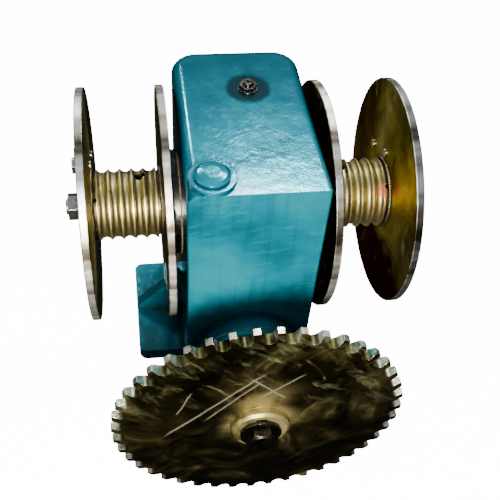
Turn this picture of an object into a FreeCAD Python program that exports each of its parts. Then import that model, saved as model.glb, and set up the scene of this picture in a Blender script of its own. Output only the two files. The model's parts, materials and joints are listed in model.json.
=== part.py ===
import FreeCAD, Part
import math
import os
import re
import Sketcher
from FreeCAD import Placement, Rotation, Vector

# Chain-driven worm winch: a painted gear case carries a cross shaft with a grooved
# rope drum on each side and, below it, a worm shaft with a roller-chain sprocket.
# Millimetres, +Z up, +X along the drum shaft, +Y from the sprocket to the back.
# The origin is the middle of the base, straight under the drum shaft.

doc = FreeCAD.newDocument("worm_winch")
sheet = doc.addObject("Spreadsheet::Sheet", "Dims")

DIMENSIONS = [
    ("drum_height", 142, "drum shaft axis above the base"),
    ("worm_height", 52, "worm shaft axis above the base"),
    ("case_half_width", 49.5, "outside of the case, along X"),
    ("case_half_depth", 82, "outside of the case, along Y"),
    ("case_top", 225, "top face of the case"),
    ("wall", 8, "side walls and top"),
    ("end_wall", 7, "front and back walls"),
    ("floor_thick", 16, "base flange around the bottom opening"),
    ("edge_front", 3, "top edge radius at the front"),
    ("edge_back", 9, "top edge radius along the sides and back"),
    ("back_corner", 20, "radius down the back corners"),
    ("corner_edge", 2.5, "radius down the front corners"),
    ("foot_reach", 39, "foot beyond the left side"),
    ("foot_half_length", 51, "half the foot, along Y"),
    ("foot_thick", 12, "foot plate"),
    ("foot_corner", 7, "radius of the foot's back corner"),
    ("rib_thick", 9, "triangular rib on the foot"),
    ("rib_top", 58, "rib height where it meets the case"),
    ("rib_toe", 6, "rib height over the foot at its toe"),
    ("boss_radius", 42, "bearing bosses and worm caps"),
    ("cap_radius", 41, "side caps over the drum shaft bearings"),
    ("worm_boss", 12, "worm bosses beyond the end walls"),
    ("lip_radius", 27, "lip that stops each bearing"),
    ("bearing_outer", 31, "bearing outer ring radius"),
    ("bearing_inner", 15, "bearing bore radius"),
    ("bearing_width", 16, "bearing width"),
    ("race_outer", 26.2, "inside radius of the outer ring"),
    ("race_inner", 19.8, "outside radius of the inner ring"),
    ("ball_circle", 23, "circle through the ball centres"),
    ("ball_radius", 4.7, "ball"),
    ("race_groove", 4.9, "section radius of the ball track"),
    ("cage_inner", 21.9, "cage inside radius"),
    ("cage_outer", 24.1, "cage outside radius"),
    ("cage_width", 11, "cage width"),
    ("main_bearing_at", 32, "inner face of a drum shaft bearing"),
    ("worm_bearing_at", 76, "inner face of a worm shaft bearing"),
    ("gasket_thick", 0.5, "paper gasket"),
    ("side_cap_face", 54.5, "outside face of a side cap"),
    ("worm_cap_thick", 6, "worm cap flange"),
    ("seal_outer", 22, "oil seal outside radius"),
    ("seal_inner", 15.05, "oil seal lip radius"),
    ("screw_circle", 36, "circle through the cap screws"),
    ("screw_radius", 3, "cap screw thread"),
    ("screw_length", 12, "cap screw thread in the case"),
    ("sunk_head_radius", 5.6, "countersunk head"),
    ("sunk_head_depth", 2.8, "countersunk head depth"),
    ("socket_head_radius", 5, "socket screw head"),
    ("socket_head_height", 6, "socket screw head height"),
    ("opening_half_x", 22, "bottom opening"),
    ("opening_half_y", 68, "bottom opening"),
    ("recess_half_x", 32, "recess for the bottom cover"),
    ("recess_half_y", 77, "recess for the bottom cover"),
    ("recess_depth", 5, "recess for the bottom cover"),
    ("cover_gap", 0.5, "bottom cover clear of the recess"),
    ("cover_low", 0, "underside of the bottom cover"),
    ("cover_gasket", 0.8, "bottom cover gasket"),
    ("cover_screw_x", 26, "bottom cover screws"),
    ("base_hole_radius", 4.25, "tapped base holes"),
    ("base_hole_depth", 10, "tapped base holes"),
    ("base_hole_left", -72, "base holes in the foot"),
    ("base_hole_right", 41, "base holes in the case"),
    ("base_hole_half_y", 36, "base holes along Y"),
    ("filler_x", -31, "filler plug place"),
    ("filler_y", -65.5, "filler plug place"),
    ("filler_ring", 16.5, "raised ring round the filler"),
    ("filler_rise", 2.6, "raised ring height"),
    ("plug_radius", 12.6, "filler plug head"),
    ("plug_rise", 4.5, "filler plug head height"),
    ("plug_thread", 10, "filler plug thread radius"),
    ("breather_x", 5.5, "breather place"),
    ("breather_y", 31, "breather place"),
    ("oil_plug_y", 50, "drain and level plugs on the right side"),
    ("drain_height", 26, "drain plug"),
    ("level_height", 52, "level plug"),
    ("flange_radius", 90, "drum flanges"),
    ("flange_thick", 6, "drum flanges"),
    ("inner_flange_at", 57, "inner face of the inner flange"),
    ("barrel_length", 53, "barrel between the flanges"),
    ("barrel_radius", 27.6, "top of the ridges"),
    ("groove_depth", 2.3, "rope groove depth"),
    ("groove_radius", 4.4, "rope groove section"),
    ("groove_pitch", 9, "rope groove pitch"),
    ("over", 1, "extra length of cutting shapes"),
    ("washer_gap", 0.3, "clearance of the end washers"),
    ("hole_gap", 0.2, "clearance round screws in plain holes"),
    ("cap_gap", 0.1, "small clearance of spigots, screw sinks, ball pockets and clamp holes"),
    ("spigot_gap", 0.2, "space between a cap spigot and its bearing"),
    ("lip_gap", 0.4, "space before a cap's inner lip"),
    ("seal_inset", 0.3, "seal face below the cap face"),
    ("seat_shoulder", 4, "case wall behind a worm bearing"),
    ("main_shoulder", 2, "case wall behind a drum bearing"),
    ("cover_screw_radius", 2.5, "bottom cover screws"),
    ("cover_head_radius", 4.6, "bottom cover screw head"),
    ("cover_head_height", 2.1, "bottom cover screw head"),
    ("cover_screw_length", 12, "bottom cover screws"),
    ("small_thread", 5, "thread radius of the oil plugs and the breather"),
    ("breather_collar_radius", 7.5, "breather collar"),
    ("breather_flats", 12, "breather hexagon"),
    ("breather_hex_height", 4, "breather hexagon"),
    ("breather_neck_radius", 4.6, "breather nose at its foot"),
    ("breather_nose_radius", 3.8, "breather nose at its top"),
    ("breather_nose_height", 6.5, "breather nose"),
    ("breather_dimple_radius", 2.4, "dimple in the top of the breather"),
    ("oil_plug_radius", 9, "oil plug collar"),
    ("oil_plug_collar", 1.5, "oil plug collar"),
    ("oil_plug_flats", 13, "oil plug hexagon"),
    ("oil_plug_height", 5, "oil plug hexagon"),
    ("grub_hole_radius", 1.9, "grub screw hole in a barrel"),
    ("drill_reach", 40, "length of the drills for the barrel holes"),
    ("rope_hole_floor", 18, "radius at which the rope hole stops"),
    ("rope_stop_half", 10, "half length of the stopping shape"),
    ("clamp_pad_radius", 8, "rope clamp plate ends"),
    ("clamp_tip", 1.2, "bolt end beyond the flange"),
    ("clamp_head_flats", 11, "rope clamp bolt head"),
    ("clamp_head_height", 4, "rope clamp bolt head"),
    ("drum_key_inset", 4, "depth of the drum and sprocket keys in their shafts"),
    ("lip_step", 1, "wall left inside a cap's lip"),
    ("cap_chamfer", 1, "chamfer round a worm cap"),
    ("socket_clear", 0.2, "key sockets start this far outside the face"),
    ("cover_socket_flats", 3, "key socket of the cover screws"),
    ("cover_socket_depth", 1.8, "key socket of the cover screws"),
    ("side_socket_flats", 4, "key socket of the side cap screws"),
    ("side_socket_depth", 1.8, "key socket of the side cap screws"),
    ("worm_socket_flats", 5, "key socket of the worm cap screws"),
    ("worm_socket_depth", 3, "key socket of the worm cap screws"),
    ("cap_hole_reach", 7, "length of the holes through the side caps"),
    ("gasket_hole_reach", 9, "length of the holes through the worm gaskets"),
    ("main_lip_reach", 6, "bore behind a drum bearing"),
    ("worm_lip_reach", 7, "bore behind a worm bearing"),
    ("plug_below", 3, "plug thread inside the case"),
    ("plug_shoulder", 0.45, "height of the plug's straight side, as a share of its rise"),
    ("plug_turn", 0.8, "height and radius at the plug's shoulder, as a share"),
    ("plug_crown", 0.45, "radius of the plug's flat top, as a share"),
    ("filler_boss_depth", 4, "filler boss inside the case wall"),
    ("seal_bevel", 2, "opening of the seal at its face"),
    ("seal_lip_start", 1.2, "seal lip behind the face"),
    ("seal_lip_end", 2.2, "seal lip behind the face"),
    ("seal_flare", 1.5, "opening of the seal at its back"),
    ("wheel_key_inset", 5, "wheel key depth in the shaft"),
    ("flange_blunt", 0.6, "bevel round the flanges"),
    ("root_factor", 1.2, "depth of a tooth gap below the pitch circle, in modules"),
    ("mouth_extra", 0.5, "wheel gap cut beyond the outside"),
    ("wheel_bevel", 1.5, "bevel round the worm wheel"),
    ("rim_wall", 2, "shoulder at each side of the rim's seat"),
    ("thread_foot", 0.3, "worm thread sunk into the root"),
    ("sprocket_key_length", 24, "sprocket key"),
    ("sprocket_key_start", 28, "front end of the sprocket key from the back of the hub"),
    ("tooth_chamfer_depth", 6, "width of the bevel on the sprocket rim"),
    ("cut_length", 500, "length of the tooth gap cuts"),
    ("slot_length", 60, "length of the keyway cutter in the sprocket"),
    ("slot_start", 50, "front end of the keyway cutter from the back of the hub"),
    ("bolt_dome_small", 9.6, "cone that rounds the sprocket bolt head"),
    ("bolt_dome_large", 22, "cone that rounds the sprocket bolt head"),
    ("bolt_dome_height", 12, "cone that rounds the sprocket bolt head"),
    ("rope_hole_radius", 4.2, "rope end hole in the barrel"),
    ("rope_hole_inward", 10.7, "rope end hole from the middle of the barrel"),
    ("grub_hole_outward", 24.4, "grub screw hole from the middle of the barrel"),
    ("clamp_across_a", 38, "first rope clamp bolt, behind the axis"),
    ("clamp_up_a", 19, "first rope clamp bolt, above the axis"),
    ("clamp_across_b", 9, "second rope clamp bolt, behind the axis"),
    ("clamp_up_b", 34, "second rope clamp bolt, above the axis"),
    ("clamp_radius", 3.5, "rope clamp bolt"),
    ("clamp_plate_thick", 3, "rope clamp plate"),
    ("barrel_spigot", 20, "barrel neck inside each flange"),
    ("drum_bore", 14.05, "barrel bore"),
    ("drum_seat", 14, "shaft inside a drum"),
    ("wheel_seat", 16, "shaft inside the worm wheel"),
    ("stud_radius", 6, "threaded shaft end"),
    ("stud_length", 15, "threaded shaft end"),
    ("end_washer_radius", 12, "washer on the shaft end"),
    ("end_washer_thick", 2.5, "washer on the shaft end"),
    ("end_nut_flats", 19, "nut on the shaft end"),
    ("end_nut_height", 10.8, "nut on the shaft end"),
    ("drum_key_width", 8, "drum key"),
    ("drum_key_height", 7, "drum key"),
    ("drum_key_length", 36, "drum key"),
    ("wheel_key_width", 10, "wheel key"),
    ("wheel_key_height", 8, "wheel key"),
    ("wheel_key_length", 28, "wheel key"),
    ("key_gap", 0.1, "key clear of its hub, all round"),
    ("wheel_teeth", 33, "worm wheel teeth"),
    ("gear_module", 4, "axial module of the worm"),
    ("wheel_outer", 71.5, "worm wheel outside radius"),
    ("wheel_half_face", 17, "worm wheel half face"),
    ("rim_inner", 54, "inside of the bronze rim"),
    ("wheel_hub_radius", 26, "wheel hub"),
    ("wheel_web_half", 6, "wheel web half thickness"),
    ("wheel_rim_seat", 45, "wheel rim seat inside radius"),
    ("dowel_radius", 2.5, "rim dowels"),
    ("dowel_length", 12, "rim dowels"),
    ("worm_tip", 28, "worm thread outside radius"),
    ("worm_root", 19.2, "worm core radius"),
    ("worm_flank", 20, "worm flank angle"),
    ("worm_backlash", 0.4, "flank clearance, each side"),
    ("worm_turns", 6, "worm thread turns"),
    ("worm_neck", 18, "worm shaft between thread and bearings"),
    ("sprocket_teeth", 43, "sprocket teeth"),
    ("chain_pitch", 15.875, "roller chain pitch"),
    ("roller_radius", 5.16, "roller seat radius"),
    ("roller_half_angle", 84, "half the roller seat angle"),
    ("tooth_width", 9.1, "sprocket plate"),
    ("sprocket_tip", 113.2, "over the tooth tips"),
    ("tooth_bevel", 1.8, "bevel on each side of the tips"),
    ("sprocket_front", 155, "front of the sprocket plate, ahead of the origin"),
    ("sprocket_hub", 23, "sprocket hub radius"),
    ("hub_front", 7.5, "hub ahead of the plate"),
    ("hub_back_at", 125, "back end of the sprocket hub"),
    ("hub_bevel", 2.2, "bevel round the hub's front edge"),
    ("sprocket_seat", 14, "worm shaft inside the sprocket"),
    ("sprocket_bore", 14.05, "sprocket bore"),
    ("sprocket_washer_radius", 16, "washer on the sprocket bolt"),
    ("sprocket_washer_thick", 3, "washer on the sprocket bolt"),
    ("sprocket_bolt_flats", 22, "sprocket bolt head"),
    ("sprocket_bolt_head", 8.8, "sprocket bolt head height"),
    ("sprocket_bolt_radius", 6.95, "sprocket bolt shank"),
    ("sprocket_bolt_length", 30, "sprocket bolt shank"),
    ("thread_gap", 0.05, "threads clear of their holes"),
]

CAP_SCREW_COUNT = 6
BALL_COUNT = 9
GROOVE_COUNT = 5
CLAMP_MARKS = ("a", "b")
DOWEL_COUNT = 6
ROPE_HOLE_ANGLE = math.radians(82)
GRUB_HOLE_ANGLE = math.radians(128)
COVER_SCREW_ROWS = (-66, -22, 22, 66)
SIDES = {"left": -1, "right": 1}
ENDS = {"front": -1, "rear": 1}
DIRECTION_TURN = {
    "X": Rotation(Vector(0, 1, 0), 90),
    "Y": Rotation(Vector(1, 0, 0), -90),
    "Z": Rotation(),
}
TURNING = {
    "X": ("XZ_Plane", "H_Axis"),
    "Y": ("YZ_Plane", "H_Axis"),
    "Z": ("XZ_Plane", "V_Axis"),
}
DRUM_AXIS = ("0", "0", "drum_height")
WORM_AXIS = ("0", "0", "worm_height")
nodes = []


def fill_sheet():
    """Write each driving dimension into the sheet under its alias."""
    for row, (alias, amount, note) in enumerate(DIMENSIONS, start=1):
        sheet.set(f"A{row}", alias)
        sheet.set(f"B{row}", str(amount))
        sheet.set(f"C{row}", note)
        sheet.setAlias(f"B{row}", alias)
    doc.recompute()


ALIASES = {alias for alias, amount, note in DIMENSIONS}


def cell(expression):
    """Turn the aliases inside an expression into references to the sheet."""
    return re.sub(
        r"[a-z_]+",
        lambda word: "Dims." + word.group() if word.group() in ALIASES else word.group(),
        str(expression),
    )


def amount_of(alias):
    """Read a driving dimension back from the sheet."""
    return float(sheet.get(alias))


def add_dimension(alias, amount, note):
    """Add a worked-out dimension under the ones already in the sheet."""
    DIMENSIONS.append((alias, amount, note))
    ALIASES.add(alias)
    row = len(DIMENSIONS)
    sheet.set(f"A{row}", alias)
    sheet.set(f"B{row}", f"{amount:.6f}")
    sheet.set(f"C{row}", note)
    sheet.setAlias(f"B{row}", alias)


def bind(item, **expressions):
    """Bind properties of an object to expressions of the driving dimensions."""
    for name, expression in expressions.items():
        item.setExpression(name, cell(expression))


def place(item, at, turn=None):
    """Place an object, with its position bound to the sheet."""
    if turn is not None:
        item.Placement = Placement(Vector(), turn)
    for axis, expression in zip("xyz", at):
        item.setExpression("Placement.Base." + axis, cell(expression))
    return item


def box(name, size, at):
    """A box with its low corner at a place."""
    item = doc.addObject("Part::Box", name)
    bind(item, Length=size[0], Width=size[1], Height=size[2])
    return place(item, at)


def cylinder(name, radius, length, at, direction="Z"):
    """A cylinder that runs from a place along a direction."""
    item = doc.addObject("Part::Cylinder", name)
    bind(item, Radius=radius, Height=length)
    return place(item, at, DIRECTION_TURN[direction])


def cone(name, radii, length, at, direction="Z"):
    """A cone frustum that runs from a place along a direction."""
    item = doc.addObject("Part::Cone", name)
    bind(item, Radius1=radii[0], Radius2=radii[1], Height=length)
    return place(item, at, DIRECTION_TURN[direction])


def torus(name, circle, section, at, direction="Z"):
    """A torus about a direction through a place."""
    item = doc.addObject("Part::Torus", name)
    bind(item, Radius1=circle, Radius2=section)
    return place(item, at, DIRECTION_TURN[direction])


def ball(name, radius, at):
    """A ball centred on a place."""
    item = doc.addObject("Part::Sphere", name)
    bind(item, Radius=radius)
    return place(item, at)


def spoke(name, radius, length, at, angle, direction):
    """A cylinder that runs outwards at an angle from an axis along X or Y."""
    outward = {
        "X": Vector(0, math.cos(angle), math.sin(angle)),
        "Y": Vector(math.cos(angle), 0, math.sin(angle)),
    }[direction]
    item = doc.addObject("Part::Cylinder", name)
    bind(item, Radius=radius, Height=length)
    return place(item, at, Rotation(Vector(0, 0, 1), outward))


def hexagon(name, flats, length, at, direction="Z"):
    """A hexagonal prism, sized across its flats."""
    item = doc.addObject("Part::Prism", name)
    item.Polygon = 6
    bind(item, Circumradius=f"({flats}) / 2 / cos(30)", Height=length)
    return place(item, at, DIRECTION_TURN[direction])


def fuse(name, pieces):
    """Join several objects into one solid."""
    item = doc.addObject("Part::MultiFuse", name)
    item.Shapes = pieces
    return item


def cut(name, base, tools):
    """Take one or more objects away from a base."""
    item = doc.addObject("Part::Cut", name)
    item.Base = base
    item.Tool = tools[0] if len(tools) == 1 else fuse(name + "_tools", tools)
    return item


def group(name, pieces):
    """Keep several separate solids together as one sub-part."""
    item = doc.addObject("Part::Compound", name)
    item.Links = pieces
    return item


def keep(item, label):
    """Name a finished sub-part and list it for export."""
    item.Label = label
    nodes.append(item)
    return item


def ring_places(count, circle, start=0.0):
    """Expression pairs for places spaced evenly on a circle."""
    step = 360 / count
    angles = [start + step * index for index in range(count)]
    return [(f"{circle} * cos({angle})", f"{circle} * sin({angle})") for angle in angles]


def origin_plane(body, role):
    """One of the body's own origin planes."""
    return next(item for item in body.Origin.OriginFeatures if item.Role == role)


def new_sketch(body, name, role):
    """A sketch on one of the body's origin planes."""
    sketch = body.newObject("Sketcher::SketchObject", name)
    sketch.AttachmentSupport = (origin_plane(body, role), [""])
    sketch.MapMode = "FlatFace"
    return sketch


def limit(sketch, kind, *where, expression, amount=1.0):
    """Add a sketch dimension that follows an expression, from a starting amount."""
    index = sketch.addConstraint(Sketcher.Constraint(kind, *where, amount))
    sketch.renameConstraint(index, f"size_{index}")
    sketch.setExpression(f"Constraints.size_{index}", cell(expression))


def polygon(body, name, role, corners):
    """A closed outline of straight lines with every corner bound to the sheet."""
    sketch = new_sketch(body, name, role)
    count = len(corners)
    starts = [Vector(math.cos(6 * k / count), math.sin(6 * k / count), 0) for k in range(count)]
    for index in range(count):
        sketch.addGeometry(Part.LineSegment(starts[index], starts[(index + 1) % count]))
    for index in range(count):
        sketch.addConstraint(Sketcher.Constraint("Coincident", index, 2, (index + 1) % count, 1))
    for index, (across, up) in enumerate(corners):
        limit(sketch, "DistanceX", -1, 1, index, 1, expression=across)
        limit(sketch, "DistanceY", -1, 1, index, 1, expression=up)
    return sketch


def turned(name, direction, outline, at):
    """A turned piece: pairs of distance along the axis and radius, spun about it."""
    body = doc.addObject("PartDesign::Body", name)
    role, axis = TURNING[direction]
    corners = [(radius, along) for along, radius in outline] if direction == "Z" else outline
    sketch = polygon(body, name + "_outline", role, corners)
    spin = body.newObject("PartDesign::Revolution", name + "_turning")
    spin.Profile = sketch
    spin.ReferenceAxis = (sketch, [axis])
    spin.Angle = 360
    return place(body, at)


def ring(name, direction, near, far, inner, outer, at):
    """A plain turned ring or disc."""
    outline = [(near, inner), (near, outer), (far, outer), (far, inner)]
    return turned(name, direction, outline, at)


def stepped(name, direction, steps, at):
    """A solid turned shaft: pairs of the end of each step and its radius."""
    outline = [(steps[0][0], "0")]
    for (start, radius), (end, _) in zip(steps, steps[1:]):
        outline.append((start, radius))
        outline.append((end, radius))
    outline.append((steps[-1][0], "0"))
    return turned(name, direction, outline, at)


# ---- gear case ---------------------------------------------------------------------------


def back_corners(shape):
    """Radii for the two upright edges at the back of the plain block."""
    chosen = []
    for number, edge in enumerate(shape.Edges, start=1):
        if edge.BoundBox.ZLength > amount_of("case_top") - 1 and edge.CenterOfMass.y > 0:
            chosen.append((number, amount_of("back_corner"), amount_of("back_corner")))
    return chosen


def remaining_edges(shape):
    """Radii for the front corners and, growing towards the back, for the edges round the top."""
    front = 5 - amount_of("case_half_depth")
    chosen = []
    for number, edge in enumerate(shape.Edges, start=1):
        bounds = edge.BoundBox
        if bounds.ZLength > amount_of("case_top") - 1 and bounds.YMax < front:
            chosen.append((number, amount_of("corner_edge"), amount_of("corner_edge")))
        elif bounds.ZMin > amount_of("case_top") - 0.1 and bounds.YMax > front:
            ends = [vertex.Point.y for vertex in edge.Vertexes]
            radii = [amount_of("edge_front" if y < front else "edge_back") for y in ends]
            chosen.append((number, radii[0], radii[1]))
    return chosen


def case_block():
    """The outside of the case with its rounded edges."""
    size = ("2 * case_half_width", "2 * case_half_depth", "case_top")
    block = box("case_block", size, ("-case_half_width", "-case_half_depth", "0"))
    doc.recompute()
    upright = doc.addObject("Part::Fillet", "case_upright_rounded")
    upright.Base = block
    upright.Edges = back_corners(block.Shape)
    doc.recompute()
    rounded = doc.addObject("Part::Fillet", "case_rounded")
    rounded.Base = upright
    rounded.Edges = remaining_edges(upright.Shape)
    return rounded


def foot():
    """The foot on the left side: a plate with one rounded back corner and a rib."""
    size = ("foot_reach + over", "2 * foot_half_length", "foot_thick")
    plate = box("foot_plate", size, ("-case_half_width - foot_reach", "-foot_half_length", "0"))
    doc.recompute()
    outer = amount_of("case_half_width") + amount_of("foot_reach")
    rounded = doc.addObject("Part::Fillet", "foot_rounded")
    rounded.Base = plate
    corners = []
    for number, edge in enumerate(plate.Shape.Edges, start=1):
        middle = edge.CenterOfMass
        upright = abs(edge.BoundBox.ZLength - amount_of("foot_thick")) < 0.1 and edge.BoundBox.YLength < 1
        if upright and abs(middle.x + outer) < 1:
            corners.append((number, amount_of("foot_corner"), amount_of("foot_corner")))
    rounded.Edges = corners
    rib = doc.addObject("PartDesign::Body", "foot_rib")
    corners = [
        ("-case_half_width + over", "foot_thick - over"),
        ("-case_half_width + over", "rib_top"),
        ("-case_half_width", "rib_top"),
        ("-case_half_width - foot_reach + over", "foot_thick + rib_toe"),
        ("-case_half_width - foot_reach + over", "foot_thick - over"),
    ]
    sketch = polygon(rib, "foot_rib_outline", "XZ_Plane", corners)
    pad = rib.newObject("PartDesign::Pad", "foot_rib_pad")
    pad.Profile = sketch
    pad.Midplane = True
    pad.setExpression("Length", cell("rib_thick"))
    return [rounded, rib]


def bearing_bosses():
    """Round bosses that carry the four bearings and the filler plug."""
    bosses = []
    for side, sign in SIDES.items():
        reach = "case_half_width - main_bearing_at + main_shoulder - over"
        start = "-(case_half_width - over)" if sign < 0 else "main_bearing_at - main_shoulder"
        at = (start, "0", "drum_height")
        bosses.append(cylinder(side + "_boss", "boss_radius", reach, at, "X"))
    for end, sign in ENDS.items():
        reach = "case_half_depth + worm_boss - worm_bearing_at + seat_shoulder"
        start = "-(case_half_depth + worm_boss)" if sign < 0 else "worm_bearing_at - seat_shoulder"
        bosses.append(cylinder(end + "_boss", "boss_radius", reach, ("0", start, "worm_height"), "Y"))
    at = ("filler_x", "filler_y", "case_top - wall - filler_boss_depth")
    bosses.append(cylinder("filler_boss", "filler_ring", "wall + filler_boss_depth + filler_rise", at))
    return bosses


def bearing_bores():
    """Bores for the bearings, each with a lip at its inner end."""
    bores = []
    for side, sign in SIDES.items():
        seat = "case_half_width - main_bearing_at + over"
        start = "-(case_half_width + over)" if sign < 0 else "main_bearing_at"
        bores.append(cylinder(side + "_seat", "bearing_outer", seat, (start, "0", "drum_height"), "X"))
        start = "-(main_bearing_at + over)" if sign < 0 else "main_bearing_at - main_lip_reach"
        at = (start, "0", "drum_height")
        bores.append(cylinder(side + "_lip", "lip_radius", "main_lip_reach + over", at, "X"))
    for end, sign in ENDS.items():
        seat = "case_half_depth + worm_boss - worm_bearing_at + over"
        start = "-(case_half_depth + worm_boss + over)" if sign < 0 else "worm_bearing_at"
        bores.append(cylinder(end + "_seat", "bearing_outer", seat, ("0", start, "worm_height"), "Y"))
        start = "-(worm_bearing_at + over)" if sign < 0 else "worm_bearing_at - worm_lip_reach"
        at = ("0", start, "worm_height")
        bores.append(cylinder(end + "_lip", "lip_radius", "worm_lip_reach + over", at, "Y"))
    return bores


def cap_screw_places():
    """Angles of the cap screws as expression pairs."""
    return ring_places(CAP_SCREW_COUNT, "screw_circle", 30)


def screw_holes():
    """Tapped holes for the cap screws, cover screws, oil plugs, breather and base bolts."""
    holes = []
    radius = "screw_radius + thread_gap"
    for side, sign in SIDES.items():
        start = "-(case_half_width + over)" if sign < 0 else "case_half_width - screw_length - over"
        for index, (across, up) in enumerate(cap_screw_places()):
            at = (start, across, "drum_height + " + up)
            holes.append(cylinder(f"{side}_tap_{index}", radius, "screw_length + 2 * over", at, "X"))
    for end, sign in ENDS.items():
        face = "case_half_depth + worm_boss"
        start = f"-({face} + over)" if sign < 0 else f"{face} - screw_length - over"
        for index, (across, up) in enumerate(cap_screw_places()):
            at = (across, start, "worm_height + " + up)
            holes.append(cylinder(f"{end}_tap_{index}", radius, "screw_length + 2 * over", at, "Y"))
    for sign in (-1, 1):
        for row in COVER_SCREW_ROWS:
            at = (f"{sign} * cover_screw_x", str(row), "0")
            name = f"cover_tap_{sign + 1}_{row + 100}"
            depth = "cover_screw_length + 2 * over"
            holes.append(cylinder(name, "cover_screw_radius + thread_gap", depth, at))
        for column in ("base_hole_left", "base_hole_right"):
            at = (column, f"{sign} * base_hole_half_y", "-over")
            name = f"{column}_{sign + 1}"
            holes.append(cylinder(name, "base_hole_radius", "base_hole_depth + over", at))
    at = ("filler_x", "filler_y", "case_top - wall - filler_boss_depth - over")
    depth = "wall + 2 * filler_boss_depth + 2 * over"
    holes.append(cylinder("filler_hole", "plug_thread + thread_gap", depth, at))
    at = ("breather_x", "breather_y", "case_top - wall - over")
    holes.append(cylinder("breather_hole", "small_thread + thread_gap", "wall + 2 * over", at))
    for name, height in (("drain", "drain_height"), ("level", "level_height")):
        at = ("case_half_width - wall - over", "oil_plug_y", height)
        holes.append(cylinder(name + "_hole", "small_thread + thread_gap", "wall + 2 * over", at, "X"))
    return holes


def gear_case():
    """The cast case: block, foot and bosses, hollowed out and bored."""
    inside = ("2 * (case_half_width - wall)", "2 * (case_half_depth - end_wall)")
    size = inside + ("case_top - wall - floor_thick",)
    at = ("-(case_half_width - wall)", "-(case_half_depth - end_wall)", "floor_thick")
    shell = cut("case_shell", case_block(), [box("case_inside", size, at)])
    solid = fuse("case_solid", [shell] + foot() + bearing_bosses())
    size = ("2 * opening_half_x", "2 * opening_half_y", "floor_thick + 2 * over")
    opening = box("bottom_opening", size, ("-opening_half_x", "-opening_half_y", "-over"))
    size = ("2 * recess_half_x", "2 * recess_half_y", "recess_depth + over")
    recess = box("cover_recess", size, ("-recess_half_x", "-recess_half_y", "-over"))
    tools = [opening, recess] + bearing_bores() + screw_holes()
    keep(cut("case_casting", solid, tools), "gear_case")


def sheet_piece(name, half_x, half_y, low, thick):
    """A flat rectangular piece centred under the drum shaft."""
    return box(name, (f"2 * ({half_x})", f"2 * ({half_y})", thick), (f"-({half_x})", f"-({half_y})", low))


def bottom_cover():
    """The recessed bottom cover with its gasket and countersunk screws."""
    half_x = "recess_half_x - cover_gap"
    half_y = "recess_half_y - cover_gap"
    hole = "cover_screw_radius + hole_gap"
    gasket_low = "recess_depth - cover_gasket"
    plate = sheet_piece("cover_plate", half_x, half_y, "cover_low", gasket_low + " - cover_low")
    frame = sheet_piece("gasket_sheet", half_x, half_y, gasket_low, "cover_gasket")
    window = sheet_piece("gasket_window", "opening_half_x", "opening_half_y", "0", "floor_thick")
    plate_tools, gasket_tools, screws = [], [window], []
    for sign in (-1, 1):
        for row in COVER_SCREW_ROWS:
            spot = f"{sign + 1}_{row + 100}"
            at = (f"{sign} * cover_screw_x", str(row), "cover_low")
            clear = cylinder("cover_clear_" + spot, hole, "floor_thick", at)
            wide = "cover_head_radius + hole_gap"
            sink = cone("cover_sink_" + spot, (wide, hole), "cover_head_height + cap_gap", at)
            plate_tools.append(fuse("cover_hole_" + spot, [clear, sink]))
            gasket_tools.append(cylinder("gasket_clear_" + spot, hole, "floor_thick", at))
            radii = ("cover_head_radius", "cover_screw_radius")
            head = cone("cover_head_" + spot, radii, "cover_head_height", at)
            shank = cylinder("cover_shank_" + spot, "cover_screw_radius", "cover_screw_length", at)
            key_at = (at[0], at[1], "cover_low - socket_clear")
            socket = hexagon("cover_socket_" + spot, "cover_socket_flats", "cover_socket_depth", key_at)
            screws.append(cut("cover_screw_" + spot, fuse("cover_bolt_" + spot, [head, shank]), [socket]))
    keep(cut("cover_drilled", plate, plate_tools), "bottom_cover")
    keep(cut("gasket_cut", frame, gasket_tools), "bottom_cover_gasket")
    keep(group("cover_screws", screws), "bottom_cover_screws")


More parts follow.
